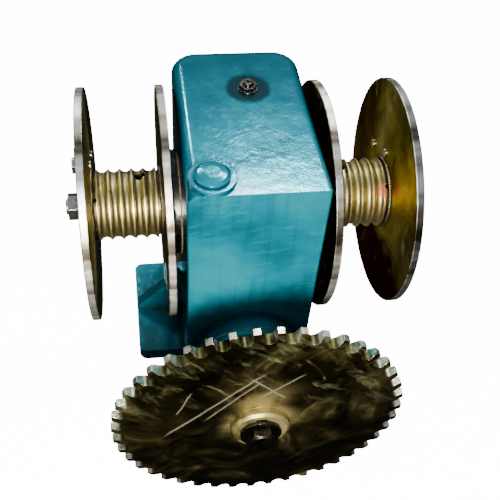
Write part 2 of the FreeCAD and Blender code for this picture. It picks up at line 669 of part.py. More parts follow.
def side_cap(side, sign):
    """A side bearing cap with its gasket and oil seal."""
    gasket_far = "(case_half_width + gasket_thick)"
    seat = "main_bearing_at + bearing_width + spigot_gap"
    outline = [
        (f"{sign} * ({seat})", "lip_radius - lip_step"),
        (f"{sign} * ({seat})", "bearing_outer - cap_gap"),
        (f"{sign} * {gasket_far}", "bearing_outer - cap_gap"),
        (f"{sign} * {gasket_far}", "cap_radius"),
        (f"{sign} * side_cap_face", "cap_radius"),
        (f"{sign} * side_cap_face", "seal_outer + thread_gap"),
        (f"{sign} * ({gasket_far} + lip_gap)", "seal_outer + thread_gap"),
        (f"{sign} * ({gasket_far} + lip_gap)", "lip_radius - lip_step"),
    ]
    cap = turned(side + "_cap_turned", "X", outline, DRUM_AXIS)
    tools, gasket_tools, screws = [], [], []
    start = "-side_cap_face" if sign < 0 else "side_cap_face"
    low = "-(side_cap_face + over)" if sign < 0 else "case_half_width - over"
    for index, (across, up) in enumerate(cap_screw_places()):
        height = "drum_height + " + up
        hole_at = (low, across, height)
        name = f"{side}_cap_clear_{index}"
        clear = cylinder(name, "screw_radius + hole_gap", "cap_hole_reach", hole_at, "X")
        radii = ("sunk_head_radius", "screw_radius")
        wide = ("sunk_head_radius + hole_gap", "screw_radius + hole_gap")
        deep = "sunk_head_depth"
        at = (start if sign < 0 else start + " - " + deep, across, height)
        sink = cone(f"{side}_sink_{index}", wide if sign < 0 else wide[::-1], deep, at, "X")
        tools.append(fuse(f"{side}_cap_hole_{index}", [clear, sink]))
        gasket_at = (low, across, height)
        name = f"{side}_gasket_clear_{index}"
        gasket_hole = cylinder(name, "screw_radius + hole_gap", "cap_hole_reach", gasket_at, "X")
        gasket_tools.append(gasket_hole)
        head = cone(f"{side}_head_{index}", radii if sign < 0 else radii[::-1], deep, at, "X")
        length = "side_cap_face - case_half_width + screw_length"
        shank_start = start if sign < 0 else start + f" - ({length})"
        shank = cylinder(f"{side}_shank_{index}", "screw_radius", length, (shank_start, across, height), "X")
        key_start = start + (" - socket_clear" if sign < 0 else " - side_socket_depth")
        key_length = "side_socket_depth + socket_clear"
        key_at = (key_start, across, height)
        key = hexagon(f"{side}_key_{index}", "side_socket_flats", key_length, key_at, "X")
        screws.append(cut(f"{side}_screw_{index}", fuse(f"{side}_bolt_{index}", [head, shank]), [key]))
    keep(cut(side + "_cap_drilled", cap, tools), side + "_bearing_cap")
    near = f"{sign} * case_half_width"
    far = f"{sign} * {gasket_far}"
    gasket = ring(side + "_paper", "X", near, far, "bearing_outer", "cap_radius", DRUM_AXIS)
    keep(cut(side + "_paper_cut", gasket, gasket_tools), side + "_cap_gasket")
    near = f"{sign} * ({gasket_far} + 1.5 * lip_gap)"
    seal = seal_outline(near, f"{sign} * (side_cap_face - seal_inset)", f"{sign}")
    keep(turned(side + "_seal_turned", "X", seal, DRUM_AXIS), side + "_shaft_seal")
    return screws


def seal_outline(near, far, sign):
    """Section of a rubber lip seal between its two faces."""
    return [
        (near, "seal_outer"),
        (far, "seal_outer"),
        (far, "seal_inner + seal_bevel"),
        (f"{far} - {sign} * seal_lip_start", "seal_inner"),
        (f"{far} - {sign} * seal_lip_end", "seal_inner"),
        (near, "seal_inner + seal_flare"),
    ]


def worm_cap(end, sign):
    """A worm bearing cap with its gasket; the front one holds a seal, the rear one is closed."""
    boss = "(case_half_depth + worm_boss)"
    gasket_far = f"({boss} + gasket_thick)"
    face = f"({gasket_far} + worm_cap_thick)"
    seat = "(worm_bearing_at + bearing_width + spigot_gap)"
    hole = "seal_outer + thread_gap" if sign < 0 else "0"
    bottom = "lip_radius - lip_step"
    outline = [
        (f"{sign} * {seat}", bottom),
        (f"{sign} * {seat}", "bearing_outer - cap_gap"),
        (f"{sign} * {gasket_far}", "bearing_outer - cap_gap"),
        (f"{sign} * {gasket_far}", "boss_radius"),
        (f"{sign} * ({face} - cap_chamfer)", "boss_radius"),
        (f"{sign} * {face}", "boss_radius - cap_chamfer"),
        (f"{sign} * {face}", hole),
        (f"{sign} * ({gasket_far} + lip_gap)", hole),
        (f"{sign} * ({gasket_far} + lip_gap)", bottom),
    ]
    cap = turned(end + "_cap_turned", "Y", outline, WORM_AXIS)
    tools, gasket_tools, screws = [], [], []
    low = f"-({face} + over)" if sign < 0 else f"{boss} - over"
    start = f"-{face}" if sign < 0 else face
    for index, (across, up) in enumerate(cap_screw_places()):
        at = (across, low, "worm_height + " + up)
        hole_radius = "screw_radius + hole_gap"
        tools.append(cylinder(f"{end}_cap_clear_{index}", hole_radius, "worm_cap_thick + 3 * over", at, "Y"))
        name = f"{end}_gasket_clear_{index}"
        gasket_tools.append(cylinder(name, hole_radius, "gasket_hole_reach", at, "Y"))
        height = "socket_head_height"
        head_at = (across, f"{start} - {height}" if sign < 0 else start, at[2])
        head = cylinder(f"{end}_head_{index}", "socket_head_radius", height, head_at, "Y")
        length = "worm_cap_thick + screw_length"
        shank_at = (across, start if sign < 0 else f"{start} - ({length})", at[2])
        shank = cylinder(f"{end}_shank_{index}", "screw_radius", length, shank_at, "Y")
        key_y = f"{start} - {height} - over" if sign < 0 else f"{start} + {height} - worm_socket_depth"
        key_length = "worm_socket_depth + over"
        key = hexagon(f"{end}_key_{index}", "worm_socket_flats", key_length, (across, key_y, at[2]), "Y")
        screws.append(cut(f"{end}_screw_{index}", fuse(f"{end}_bolt_{index}", [head, shank]), [key]))
    keep(cut(end + "_cap_drilled", cap, tools), f"worm_{end}_cap")
    near = f"{sign} * {boss}"
    far = f"{sign} * {gasket_far}"
    gasket = ring(end + "_paper", "Y", near, far, "bearing_outer", "boss_radius", WORM_AXIS)
    keep(cut(end + "_paper_cut", gasket, gasket_tools), f"worm_{end}_gasket")
    if sign < 0:
        seal = seal_outline(f"-({gasket_far} + 1.5 * lip_gap)", f"-({face} - seal_inset)", "-1")
        keep(turned("worm_seal_turned", "Y", seal, WORM_AXIS), "worm_shaft_seal")
    return screws


def bearing(prefix, label, direction, sign, start, at):
    """Rings, balls and cage of one deep-groove ball bearing, about a direction."""
    near = f"{sign} * {start}"
    far = f"{sign} * ({start} + bearing_width)"
    middle = f"{sign} * ({start} + bearing_width / 2)"
    centre = {"X": (middle, "0", at[2]), "Y": ("0", middle, at[2])}[direction]
    outer = ring(prefix + "_outer_blank", direction, near, far, "race_outer", "bearing_outer", at)
    track = torus(prefix + "_outer_track", "ball_circle", "race_groove", centre, direction)
    keep(cut(prefix + "_outer_ring", outer, [track]), label + "_outer_race")
    inner = ring(prefix + "_inner_blank", direction, near, far, "bearing_inner", "race_inner", at)
    track = torus(prefix + "_inner_track", "ball_circle", "race_groove", centre, direction)
    keep(cut(prefix + "_inner_ring", inner, [track]), label + "_inner_race")
    balls, pockets = [], []
    for index, (across, up) in enumerate(ring_places(BALL_COUNT, "ball_circle")):
        spot = {"X": (middle, across, f"{at[2]} + {up}"), "Y": (across, middle, f"{at[2]} + {up}")}[direction]
        balls.append(ball(f"{prefix}_ball_{index}", "ball_radius", spot))
        angle = 2 * math.pi * index / BALL_COUNT
        name = f"{prefix}_pocket_{index}"
        pocket = spoke(name, "ball_radius + cap_gap", "bearing_outer", centre, angle, direction)
        pockets.append(pocket)
    near = f"{sign} * ({start} + bearing_width / 2 - cage_width / 2)"
    far = f"{sign} * ({start} + bearing_width / 2 + cage_width / 2)"
    blank = ring(prefix + "_cage_blank", direction, near, far, "cage_inner", "cage_outer", at)
    return balls, cut(prefix + "_cage", blank, pockets)


def all_bearings():
    """Two bearings on each shaft, with balls and cages grouped by shaft."""
    main = [bearing(side, side, "X", sign, "main_bearing_at", DRUM_AXIS) for side, sign in SIDES.items()]
    worm = []
    for end, sign in ENDS.items():
        worm.append(bearing(end, "worm_" + end, "Y", sign, "worm_bearing_at", WORM_AXIS))
    for name, pair in (("drum", main), ("worm", worm)):
        all_balls = [item for balls, cage in pair for item in balls]
        keep(group(name + "_balls", all_balls), name + "_bearing_balls")
        keep(group(name + "_cages", [cage for balls, cage in pair]), name + "_bearing_cages")


def case_fittings():
    """Filler plug, breather, drain plug and level plug."""
    top = "(case_top + filler_rise)"
    outline = [
        (f"{top} - wall - plug_below", "0"),
        (f"{top} - wall - plug_below", "plug_thread"),
        (top, "plug_thread"),
        (top, "plug_radius"),
        (f"{top} + plug_shoulder * plug_rise", "plug_radius"),
        (f"{top} + plug_turn * plug_rise", "plug_turn * plug_radius"),
        (f"{top} + plug_rise", "plug_crown * plug_radius"),
        (f"{top} + plug_rise", "0"),
    ]
    keep(turned("filler_turned", "Z", outline, ("filler_x", "filler_y", "0")), "filler_plug")
    at = ("breather_x", "breather_y", "case_top")
    below = ("breather_x", "breather_y", "case_top - wall")
    pieces = [
        cylinder("breather_collar", "breather_collar_radius", "1", at),
        hexagon("breather_hex", "breather_flats", "breather_hex_height", at),
        cylinder("breather_stem", "small_thread", "wall", below),
        cone("breather_nose", ("breather_neck_radius", "breather_nose_radius"), "breather_nose_height", at),
    ]
    dimple_at = (at[0], at[1], "case_top + breather_hex_height")
    dimple_radii = ("breather_dimple_radius / 3", "breather_dimple_radius")
    dimple = cone("breather_dimple", dimple_radii, "breather_nose_height", dimple_at)
    keep(cut("breather_drilled", fuse("breather_solid", pieces), [dimple]), "breather")
    for name, height in (("drain", "drain_height"), ("level", "level_height")):
        at = ("case_half_width", "oil_plug_y", height)
        inside = ("case_half_width - wall", "oil_plug_y", height)
        pieces = [
            cylinder(name + "_collar", "oil_plug_radius", "oil_plug_collar", at, "X"),
            hexagon(name + "_hex", "oil_plug_flats", "oil_plug_height", at, "X"),
            cylinder(name + "_thread", "small_thread", "wall", inside, "X"),
        ]
        keep(fuse(name + "_solid", pieces), name + "_plug")


# ---- drum shaft --------------------------------------------------------------------------


def drum_shaft():
    """The cross shaft with keyways and threaded ends."""
    seat_end = "(inner_flange_at + 2 * flange_thick + barrel_length)"
    end = f"({seat_end} + stud_length)"
    steps = [
        (f"-{end}", "stud_radius"),
        (f"-{seat_end}", "drum_seat"),
        ("-inner_flange_at", "bearing_inner"),
        ("-main_bearing_at", "wheel_seat"),
        ("main_bearing_at", "bearing_inner"),
        ("inner_flange_at", "drum_seat"),
        (seat_end, "stud_radius"),
        (end, "stud_radius"),
    ]
    shaft = stepped("cross_shaft", "X", steps, DRUM_AXIS)
    slots = []
    for side, sign in SIDES.items():
        slots.append(drum_key(side + "_keyway", sign))
        key = drum_key(side + "_key_block", sign)
        keep(key, side + "_drum_key")
    slots.append(wheel_key("wheel_keyway"))
    keep(wheel_key("wheel_key_block"), "wheel_key")
    keep(cut("cross_shaft_keyed", shaft, slots), "drum_shaft")


def drum_key(name, sign):
    """A parallel key under the shaft, halfway along a drum."""
    middle = f"{sign} * (inner_flange_at + flange_thick + barrel_length / 2)"
    size = ("drum_key_length", "drum_key_width", "drum_key_height")
    low = "drum_height - drum_seat - drum_key_height + drum_key_inset"
    return box(name, size, (f"{middle} - drum_key_length / 2", "-drum_key_width / 2", low))


def wheel_key(name):
    """A parallel key on top of the shaft, inside the worm wheel."""
    size = ("wheel_key_length", "wheel_key_width", "wheel_key_height")
    low = "drum_height + wheel_seat - wheel_key_inset"
    return box(name, size, ("-wheel_key_length / 2", "-wheel_key_width / 2", low))


def drum(side, sign):
    """A rope drum: grooved barrel with a neck at each end and two flanges."""
    near = "inner_flange_at"
    first = "(inner_flange_at + flange_thick)"
    last = f"({first} + barrel_length)"
    end = f"({last} + flange_thick)"
    outline = [
        (f"{sign} * {near}", "drum_bore"),
        (f"{sign} * {near}", "barrel_spigot"),
        (f"{sign} * {first}", "barrel_spigot"),
        (f"{sign} * {first}", "barrel_radius"),
        (f"{sign} * {last}", "barrel_radius"),
        (f"{sign} * {last}", "barrel_spigot"),
        (f"{sign} * {end}", "barrel_spigot"),
        (f"{sign} * {end}", "drum_bore"),
    ]
    barrel = turned(side + "_barrel_turned", "X", outline, DRUM_AXIS)
    middle = f"{sign} * ({first} + barrel_length / 2)"
    circle = "barrel_radius - groove_depth + groove_radius"
    tools = []
    for index in range(GROOVE_COUNT):
        shift = index - (GROOVE_COUNT - 1) / 2
        at = (f"{middle} + {shift} * groove_pitch", "0", "drum_height")
        tools.append(torus(f"{side}_groove_{index}", circle, "groove_radius", at, "X"))
    band = f"(barrel_length - {GROOVE_COUNT} * groove_pitch - 1.4) / 2"
    for name, start in (("near", first), ("far", f"{last} - {band}")):
        low = f"{sign} * ({start})"
        high = f"{sign} * ({start} + {band})"
        inner = "barrel_radius - groove_depth"
        tools.append(ring(f"{side}_{name}_band", "X", low, high, inner, "barrel_radius + over", DRUM_AXIS))
    slot = drum_key(side + "_hub_slot", sign)
    bind(slot, Width="drum_key_width + 2 * key_gap", Height="drum_key_height + key_gap")
    low = "drum_height - drum_seat - drum_key_height + drum_key_inset - key_gap"
    start = f"{sign} * (inner_flange_at + flange_thick + barrel_length / 2) - drum_key_length / 2"
    place(slot, (start, "-drum_key_width / 2 - key_gap", low))
    tools.append(slot)
    at = (f"{middle} - {sign} * rope_hole_inward", "0", "drum_height")
    rope_bore = spoke(side + "_rope_bore", "rope_hole_radius", "drill_reach", at, ROPE_HOLE_ANGLE, "X")
    core_at = (at[0] + " - rope_stop_half", "0", "drum_height")
    core = cylinder(side + "_rope_stop", "rope_hole_floor", "2 * rope_stop_half", core_at, "X")
    at = (f"{middle} + {sign} * grub_hole_outward", "0", "drum_height")
    tools.append(cut(side + "_rope_hole", rope_bore, [core]))
    tools.append(spoke(side + "_grub_hole", "grub_hole_radius", "drill_reach", at, GRUB_HOLE_ANGLE, "X"))
    keep(cut(side + "_barrel_cut", barrel, tools), side + "_rope_barrel")
    flange(side, "inner", f"{sign} * {near}", f"{sign} * {first}", sign)
    flange(side, "outer", f"{sign} * {last}", f"{sign} * {end}", sign)
    near_face = f"{sign} * {end}"
    far_face = f"{sign} * ({end} + end_washer_thick)"
    radii = ("stud_radius + washer_gap", "end_washer_radius")
    washer = ring(side + "_washer_ring", "X", near_face, far_face, *radii, DRUM_AXIS)
    start = far_face if sign > 0 else f"{far_face} - end_nut_height"
    blank = hexagon(side + "_nut_hex", "end_nut_flats", "end_nut_height", (start, "0", "drum_height"), "X")
    hole_at = (start + " - over", "0", "drum_height")
    hole = cylinder(side + "_nut_hole", "stud_radius + thread_gap", "end_nut_height + 2 * over", hole_at, "X")
    return washer, cut(side + "_nut", blank, [hole])


def flange(side, which, near, far, sign):
    """A drum flange disc with bevelled rims; the outer one has two rope clamp holes."""
    blunt = "flange_blunt"
    inward = "-1" if near.startswith("-1") else "1"
    outline = [
        (near, "barrel_spigot + thread_gap"),
        (near, f"flange_radius - {blunt}"),
        (f"{near} + {inward} * {blunt}", "flange_radius"),
        (f"{far} - {inward} * {blunt}", "flange_radius"),
        (far, f"flange_radius - {blunt}"),
        (far, "barrel_spigot + thread_gap"),
    ]
    name = f"{side}_{which}_flange"
    disc = turned(name + "_disc", "X", outline, DRUM_AXIS)
    if which == "inner":
        keep(disc, name)
        return
    low = f"{near} - over" if sign > 0 else f"{far} - over"
    holes = []
    for mark in CLAMP_MARKS:
        at = (low, f"clamp_across_{mark}", f"drum_height + clamp_up_{mark}")
        radius = "clamp_radius + thread_gap"
        holes.append(cylinder(f"{name}_hole_{mark}", radius, "flange_thick + 2 * over", at, "X"))
    keep(cut(name + "_drilled", disc, holes), name)


def rope_clamp(side, sign):
    """A rope clamp outside a drum: a rounded plate and two bolts through the outer flange."""
    inner = "(inner_flange_at + flange_thick + barrel_length)"
    outer = f"({inner} + flange_thick)"
    plate_low = outer if sign > 0 else f"-{outer} - clamp_plate_thick"
    discs, holes, bolts = [], [], []
    for mark in CLAMP_MARKS:
        across, up = f"clamp_across_{mark}", f"drum_height + clamp_up_{mark}"
        name = f"{side}_clamp_{mark}"
        pad_at = (plate_low, across, up)
        discs.append(cylinder(name + "_pad", "clamp_pad_radius", "clamp_plate_thick", pad_at, "X"))
        hole_at = (plate_low + " - over", across, up)
        radius = "clamp_radius + cap_gap"
        holes.append(cylinder(name + "_pad_hole", radius, "clamp_plate_thick + 2 * over", hole_at, "X"))
        end = f"({inner} - clamp_tip)" if sign > 0 else f"-({outer} + clamp_plate_thick)"
        length = "flange_thick + clamp_plate_thick + clamp_tip"
        shank = cylinder(name + "_shank", "clamp_radius", length, (end, across, up), "X")
        head_at = f"{outer} + clamp_plate_thick"
        if sign < 0:
            head_at = f"-({head_at} + clamp_head_height)"
        head = hexagon(name + "_head", "clamp_head_flats", "clamp_head_height", (head_at, across, up), "X")
        bolts.append(fuse(name + "_bolt", [shank, head]))
    span = "sqrt((clamp_across_a - clamp_across_b)^2 + (clamp_up_a - clamp_up_b)^2)"
    bar = doc.addObject("Part::Box", side + "_clamp_bar")
    bind(bar, Length="clamp_plate_thick", Width=span, Height="2 * clamp_pad_radius")
    rise = amount_of("clamp_up_a") - amount_of("clamp_up_b")
    run = amount_of("clamp_across_a") - amount_of("clamp_across_b")
    tilt = math.degrees(math.atan2(rise, run))
    across = f"clamp_across_b + clamp_pad_radius * sin({tilt})"
    up = f"drum_height + clamp_up_b - clamp_pad_radius * cos({tilt})"
    place(bar, (plate_low, across, up), Rotation(Vector(1, 0, 0), tilt))
    plate = cut(side + "_clamp_plate", fuse(side + "_clamp_blank", discs + [bar]), holes)
    return plate, bolts


def both_drums():
    """The two drums with their rope clamps and the nuts and washers on the shaft ends."""
    washers, nuts, plates, bolts = [], [], [], []
    for side, sign in SIDES.items():
        washer, nut = drum(side, sign)
        washers.append(washer)
        nuts.append(nut)
        plate, pair = rope_clamp(side, sign)
        plates.append(plate)
        bolts += pair
    keep(group("clamp_plates", plates), "rope_clamp_plates")
    keep(group("clamp_bolts", bolts), "rope_clamp_bolts")
    keep(group("end_washers", washers), "shaft_end_washers")
    keep(group("end_nuts", nuts), "shaft_end_nuts")


# ---- worm wheel --------------------------------------------------------------------------


def gap_dimensions():
    """Corners of one tooth gap of the wheel, with flanks that roll on the worm's straight ones."""
    module = amount_of("gear_module")
    pitch = module * amount_of("wheel_teeth") / 2
    lean = math.radians(amount_of("worm_flank"))
    base = pitch * math.cos(lean)
    curve = pitch * math.sin(lean)
    half_gap = math.pi * module / 4 / pitch
    root = amount_of("root_factor") * module
    mouth = amount_of("wheel_outer") + amount_of("mouth_extra")
    for name, radius in (("root", pitch - root), ("mouth", mouth)):
        turn = math.acos((base**2 + radius**2 - curve**2) / (2 * base * radius))
        angle = half_gap + lean - turn
        add_dimension(f"gap_{name}_across", radius * math.sin(angle), "worm wheel tooth gap")
        add_dimension(f"gap_{name}_down", radius * math.cos(angle), "worm wheel tooth gap")
    add_dimension("gap_flank", curve, "worm wheel flank radius")
    lead_angle = math.degrees(math.atan(module / 2 / (amount_of("worm_tip") - module)))
    add_dimension("lead_angle", lead_angle, "worm thread angle at the pitch line")
    doc.recompute()
    return base, half_gap + lean


def flank_arc(base, turn, sign, low, high):
    """The arc of one flank about its centre on the base circle, and the corner it starts at."""
    centre = Vector(sign * base * math.sin(turn), -base * math.cos(turn), 0)
    angles = []
    for point in (low, high):
        angle = math.atan2(point.y - centre.y, point.x - centre.x)
        angles.append(angle % (2 * math.pi) if sign > 0 else angle)
    circle = Part.Circle(centre, Vector(0, 0, 1), (low - centre).Length)
    return Part.ArcOfCircle(circle, min(angles), max(angles)), angles[0] < angles[1]


def gap_sketch(body):
    """One tooth gap at the bottom of the wheel, tilted to the worm's thread angle."""
    base, turn = gap_dimensions()
    sketch = new_sketch(body, "gap_outline", "YZ_Plane")
    tilt = Rotation(Vector(0, 1, 0), amount_of("lead_angle"))
    sketch.AttachmentOffset = Placement(Vector(), tilt)
    corners = [
        ("-gap_root_across", "-gap_root_down"),
        ("gap_root_across", "-gap_root_down"),
        ("gap_mouth_across", "-gap_mouth_down"),
        ("-gap_mouth_across", "-gap_mouth_down"),
    ]
    points = []
    for side, name in ((-1, "root"), (1, "root"), (1, "mouth"), (-1, "mouth")):
        across = side * amount_of(f"gap_{name}_across")
        points.append(Vector(across, -amount_of(f"gap_{name}_down"), 0))
    sketch.addGeometry(Part.LineSegment(points[0], points[1]))
    sketch.addGeometry(Part.LineSegment(points[2], points[3]))
    for index, (across, up) in enumerate(corners):
        line, end = divmod(index, 2)
        limit(sketch, "DistanceX", -1, 1, line, end + 1, expression=across, amount=points[index].x)
        limit(sketch, "DistanceY", -1, 1, line, end + 1, expression=up, amount=points[index].y)
    for side, (low, high) in ((1, (1, 2)), (-1, (0, 3))):
        curve, starts_low = flank_arc(base, turn, side, points[low], points[high])
        arc = sketch.addGeometry(curve)
        for corner, end in ((low, 1 if starts_low else 2), (high, 2 if starts_low else 1)):
            line, which = divmod(corner, 2)
            sketch.addConstraint(Sketcher.Constraint("Coincident", arc, end, line, which + 1))
        limit(sketch, "Radius", arc, expression="gap_flank", amount=amount_of("gap_flank"))
    return sketch


def polar_cut(body, name, sketches, axis_role, count, width):
    """Cut outlines right through a body and repeat the cuts about one of its axes."""
    pockets = []
    for sketch in sketches:
        pocket = body.newObject("PartDesign::Pocket", sketch.Name + "_cut")
        pocket.Profile = sketch
        pocket.Midplane = True
        pocket.setExpression("Length", cell(width))
        doc.recompute()
        pockets.append(pocket)
    if len(pockets) == 1:
        pattern = body.newObject("PartDesign::PolarPattern", name)
        pattern.Originals = pockets
    else:
        pattern = body.newObject("PartDesign::MultiTransform", name)
        pattern.Originals = pockets
    turning = pattern
    if len(pockets) > 1:
        turning = body.newObject("PartDesign::PolarPattern", name + "_turning")
        pattern.Transformations = [turning]
    turning.Axis = (origin_plane(body, axis_role), [""])
    turning.Angle = 360
    turning.setExpression("Occurrences", cell(count))
    body.Tip = pattern


def worm_wheel():
    """Bronze toothed rim doweled to an iron hub, with a spacer on each side."""
    face = "wheel_half_face"
    bevel = "wheel_bevel"
    outline = [
        (f"-{face}", "rim_inner + thread_gap"),
        (f"-{face}", f"wheel_outer - {bevel}"),
        (f"-{face} + {bevel}", "wheel_outer"),
        (f"{face} - {bevel}", "wheel_outer"),
        (face, f"wheel_outer - {bevel}"),
        (face, "rim_inner + thread_gap"),
    ]
    rim = turned("rim_turned", "X", outline, DRUM_AXIS)
    polar_cut(rim, "rim_teeth", [gap_sketch(rim)], "X_Axis", "wheel_teeth", "4 * wheel_half_face")
    centres = "(drum_height - worm_height)"
    section = f"{centres} - wheel_teeth * gear_module / 2 - gear_module"
    throat = torus("rim_throat", centres, section, DRUM_AXIS, "X")
    hub_outline = [
        (f"-{face}", "wheel_seat + thread_gap"),
        (f"-{face}", "wheel_hub_radius"),
        ("-wheel_web_half", "wheel_hub_radius"),
        ("-wheel_web_half", "wheel_rim_seat"),
        (f"-{face} + rim_wall", "wheel_rim_seat"),
        (f"-{face} + rim_wall", "rim_inner"),
        (f"{face} - rim_wall", "rim_inner"),
        (f"{face} - rim_wall", "wheel_rim_seat"),
        ("wheel_web_half", "wheel_rim_seat"),
        ("wheel_web_half", "wheel_hub_radius"),
        (face, "wheel_hub_radius"),
        (face, "wheel_seat + thread_gap"),
    ]
    hub = turned("hub_turned", "X", hub_outline, DRUM_AXIS)
    slot = wheel_key("hub_keyway")
    bind(slot, Width="wheel_key_width + 2 * key_gap", Height="wheel_key_height + key_gap")
    bind(slot, Length="4 * wheel_half_face")
    low = "drum_height + wheel_seat - wheel_key_inset"
    place(slot, ("-2 * wheel_half_face", "-wheel_key_width / 2 - key_gap", low))
    rim_tools, hub_tools, dowels = [throat], [slot], []
    for index, (across, up) in enumerate(ring_places(DOWEL_COUNT, "rim_inner")):
        at = ("wheel_half_face - rim_wall - dowel_length", across, "drum_height + " + up)
        dowels.append(cylinder(f"dowel_{index}", "dowel_radius", "dowel_length", at, "X"))
        for tools, name in ((rim_tools, "rim"), (hub_tools, "hub")):
            tools.append(cylinder(f"{name}_dowel_hole_{index}", "dowel_radius", "dowel_length + 4", at, "X"))
    keep(cut("rim_cut", rim, rim_tools), "worm_wheel_rim")
    keep(cut("hub_cut", hub, hub_tools), "worm_wheel_hub")
    keep(group("rim_dowel_group", dowels), "rim_dowels")
    for side, sign in SIDES.items():
        near = f"{sign} * {face}"
        far = f"{sign} * main_bearing_at"
        spacer = ring(side + "_spacer", "X", near, far, "wheel_seat + thread_gap", "race_inner", DRUM_AXIS)
        keep(spacer, side + "_wheel_spacer")


# ---- worm shaft --------------------------------------------------------------------------


def worm_shaft():
    """The worm cut on its shaft, with the sprocket seat in front."""
    front = "(sprocket_front + hub_front - over)"
    half_thread = "(worm_turns * pi * gear_module / 2 + gear_module)"
    steps = [
        (f"-{front}", "sprocket_seat"),
        ("-hub_back_at", "bearing_inner"),
        ("-worm_bearing_at", "worm_neck"),
        (f"-{half_thread}", "worm_root"),
        (half_thread, "worm_neck"),
        ("worm_bearing_at", "bearing_inner"),
        ("worm_bearing_at + bearing_width + over", "bearing_inner"),
    ]
    body = stepped("worm_turned", "Y", steps, WORM_AXIS)
    start = "(-worm_turns * pi * gear_module / 2)"
    pitch_line = "pi * gear_module / 4 - worm_backlash"
    tip_half = f"({pitch_line} - gear_module * tan(worm_flank))"
    depth = "(worm_tip - gear_module - worm_root + thread_foot)"
    root_half = f"({pitch_line} + {depth} * tan(worm_flank))"
    corners = [
        (f"{start} - {root_half}", "worm_root - thread_foot"),
        (f"{start} - {tip_half}", "worm_tip"),
        (f"{start} + {tip_half}", "worm_tip"),
        (f"{start} + {root_half}", "worm_root - thread_foot"),
    ]
    sketch = polygon(body, "worm_thread_outline", "YZ_Plane", corners)
    doc.recompute()
    thread = body.newObject("PartDesign::AdditiveHelix", "worm_thread")
    thread.Profile = sketch
    thread.ReferenceAxis = (sketch, ["H_Axis"])
    thread.Mode = 0
    thread.setExpression("Pitch", cell("pi * gear_module"))
    thread.setExpression("Height", cell("worm_turns * pi * gear_module"))
    doc.recompute()
    slot = sprocket_key("worm_keyway")
    keep(sprocket_key("sprocket_key_block"), "sprocket_key")
    start = f"-({front} + over)"
    at = ("0", start, "worm_height")
    tap = cylinder("worm_end_tap", "sprocket_bolt_radius + thread_gap", "sprocket_bolt_length + 4", at, "Y")
    keep(cut("worm_keyed", body, [slot, tap]), "worm_shaft")


def sprocket_key(name):
    """A parallel key on top of the worm shaft, inside the sprocket."""
    size = ("drum_key_width", "sprocket_key_length", "drum_key_height")
    low = "worm_height + sprocket_seat - drum_key_inset"
    return box(name, size, ("-drum_key_width / 2", "-(hub_back_at + sprocket_key_start)", low))


def sprocket():
    """The chain sprocket: plate, hub on both sides, and a gap for each roller."""
    back = "(sprocket_front - tooth_width)"
    nose = "(sprocket_front + hub_front)"
    outline = [
        ("-hub_back_at", "sprocket_bore"),
        ("-hub_back_at", "sprocket_hub"),
        (f"-{back}", "sprocket_hub"),
        (f"-{back}", "sprocket_tip - tooth_chamfer_depth"),
        (f"-{back} - tooth_bevel", "sprocket_tip"),
        ("-sprocket_front + tooth_bevel", "sprocket_tip"),
        ("-sprocket_front", "sprocket_tip - tooth_chamfer_depth"),
        ("-sprocket_front", "sprocket_hub"),
        (f"-{nose} + hub_bevel", "sprocket_hub"),
        (f"-{nose}", "sprocket_hub - hub_bevel"),
        (f"-{nose}", "sprocket_bore"),
    ]
    body = turned("sprocket_turned", "Y", outline, WORM_AXIS)
    pitch = "(chain_pitch / 2 / sin(180 / sprocket_teeth))"
    seat = new_sketch(body, "roller_seat", "XZ_Plane")
    seat.addGeometry(Part.Circle(Vector(0, 1, 0), Vector(0, 0, 1), 1))
    limit(seat, "DistanceX", -1, 1, 0, 3, expression="0")
    limit(seat, "DistanceY", -1, 1, 0, 3, expression=pitch)
    limit(seat, "Radius", 0, expression="roller_radius")
    low_half = "(roller_radius * sin(roller_half_angle))"
    low_up = f"({pitch} - roller_radius * cos(roller_half_angle))"
    high_up = "(sprocket_tip + over)"
    high_half = f"({low_half} + ({high_up} - {low_up}) / tan(roller_half_angle))"
    corners = [
        (f"-{low_half}", low_up),
        (low_half, low_up),
        (high_half, high_up),
        (f"-{high_half}", high_up),
    ]
    mouth = polygon(body, "tooth_mouth", "XZ_Plane", corners)
    polar_cut(body, "sprocket_gaps", [seat, mouth], "Y_Axis", "sprocket_teeth", "cut_length")
    slot = sprocket_key("sprocket_slot")
    bind(slot, Width="slot_length", Length="drum_key_width + 2 * key_gap", Height="drum_key_height + key_gap")
    low = "worm_height + sprocket_seat - drum_key_inset"
    place(slot, ("-drum_key_width / 2 - key_gap", "-(hub_back_at + slot_start)", low))
    keep(cut("sprocket_cut", body, [slot]), "sprocket")
    far = f"({nose} + sprocket_washer_thick)"
    shank_hole = "sprocket_bolt_radius + washer_gap"
    radii = (shank_hole, "sprocket_washer_radius")
    washer = ring("sprocket_washer_ring", "Y", f"-{nose}", f"-{far}", *radii, WORM_AXIS)
    keep(washer, "sprocket_washer")
    at = ("0", f"-{far} - sprocket_bolt_head", "worm_height")
    head = hexagon("sprocket_bolt_hex", "sprocket_bolt_flats", "sprocket_bolt_head", at, "Y")
    dome = cone("sprocket_bolt_dome", ("bolt_dome_small", "bolt_dome_large"), "bolt_dome_height", at, "Y")
    shaped = doc.addObject("Part::MultiCommon", "sprocket_bolt_shaped")
    shaped.Shapes = [head, dome]
    at = ("0", f"-{far}", "worm_height")
    shank = cylinder("sprocket_bolt_shank", "sprocket_bolt_radius", "sprocket_bolt_length", at, "Y")
    keep(fuse("sprocket_bolt_solid", [shaped, shank]), "sprocket_bolt")


# ---- build and write ---------------------------------------------------------------------


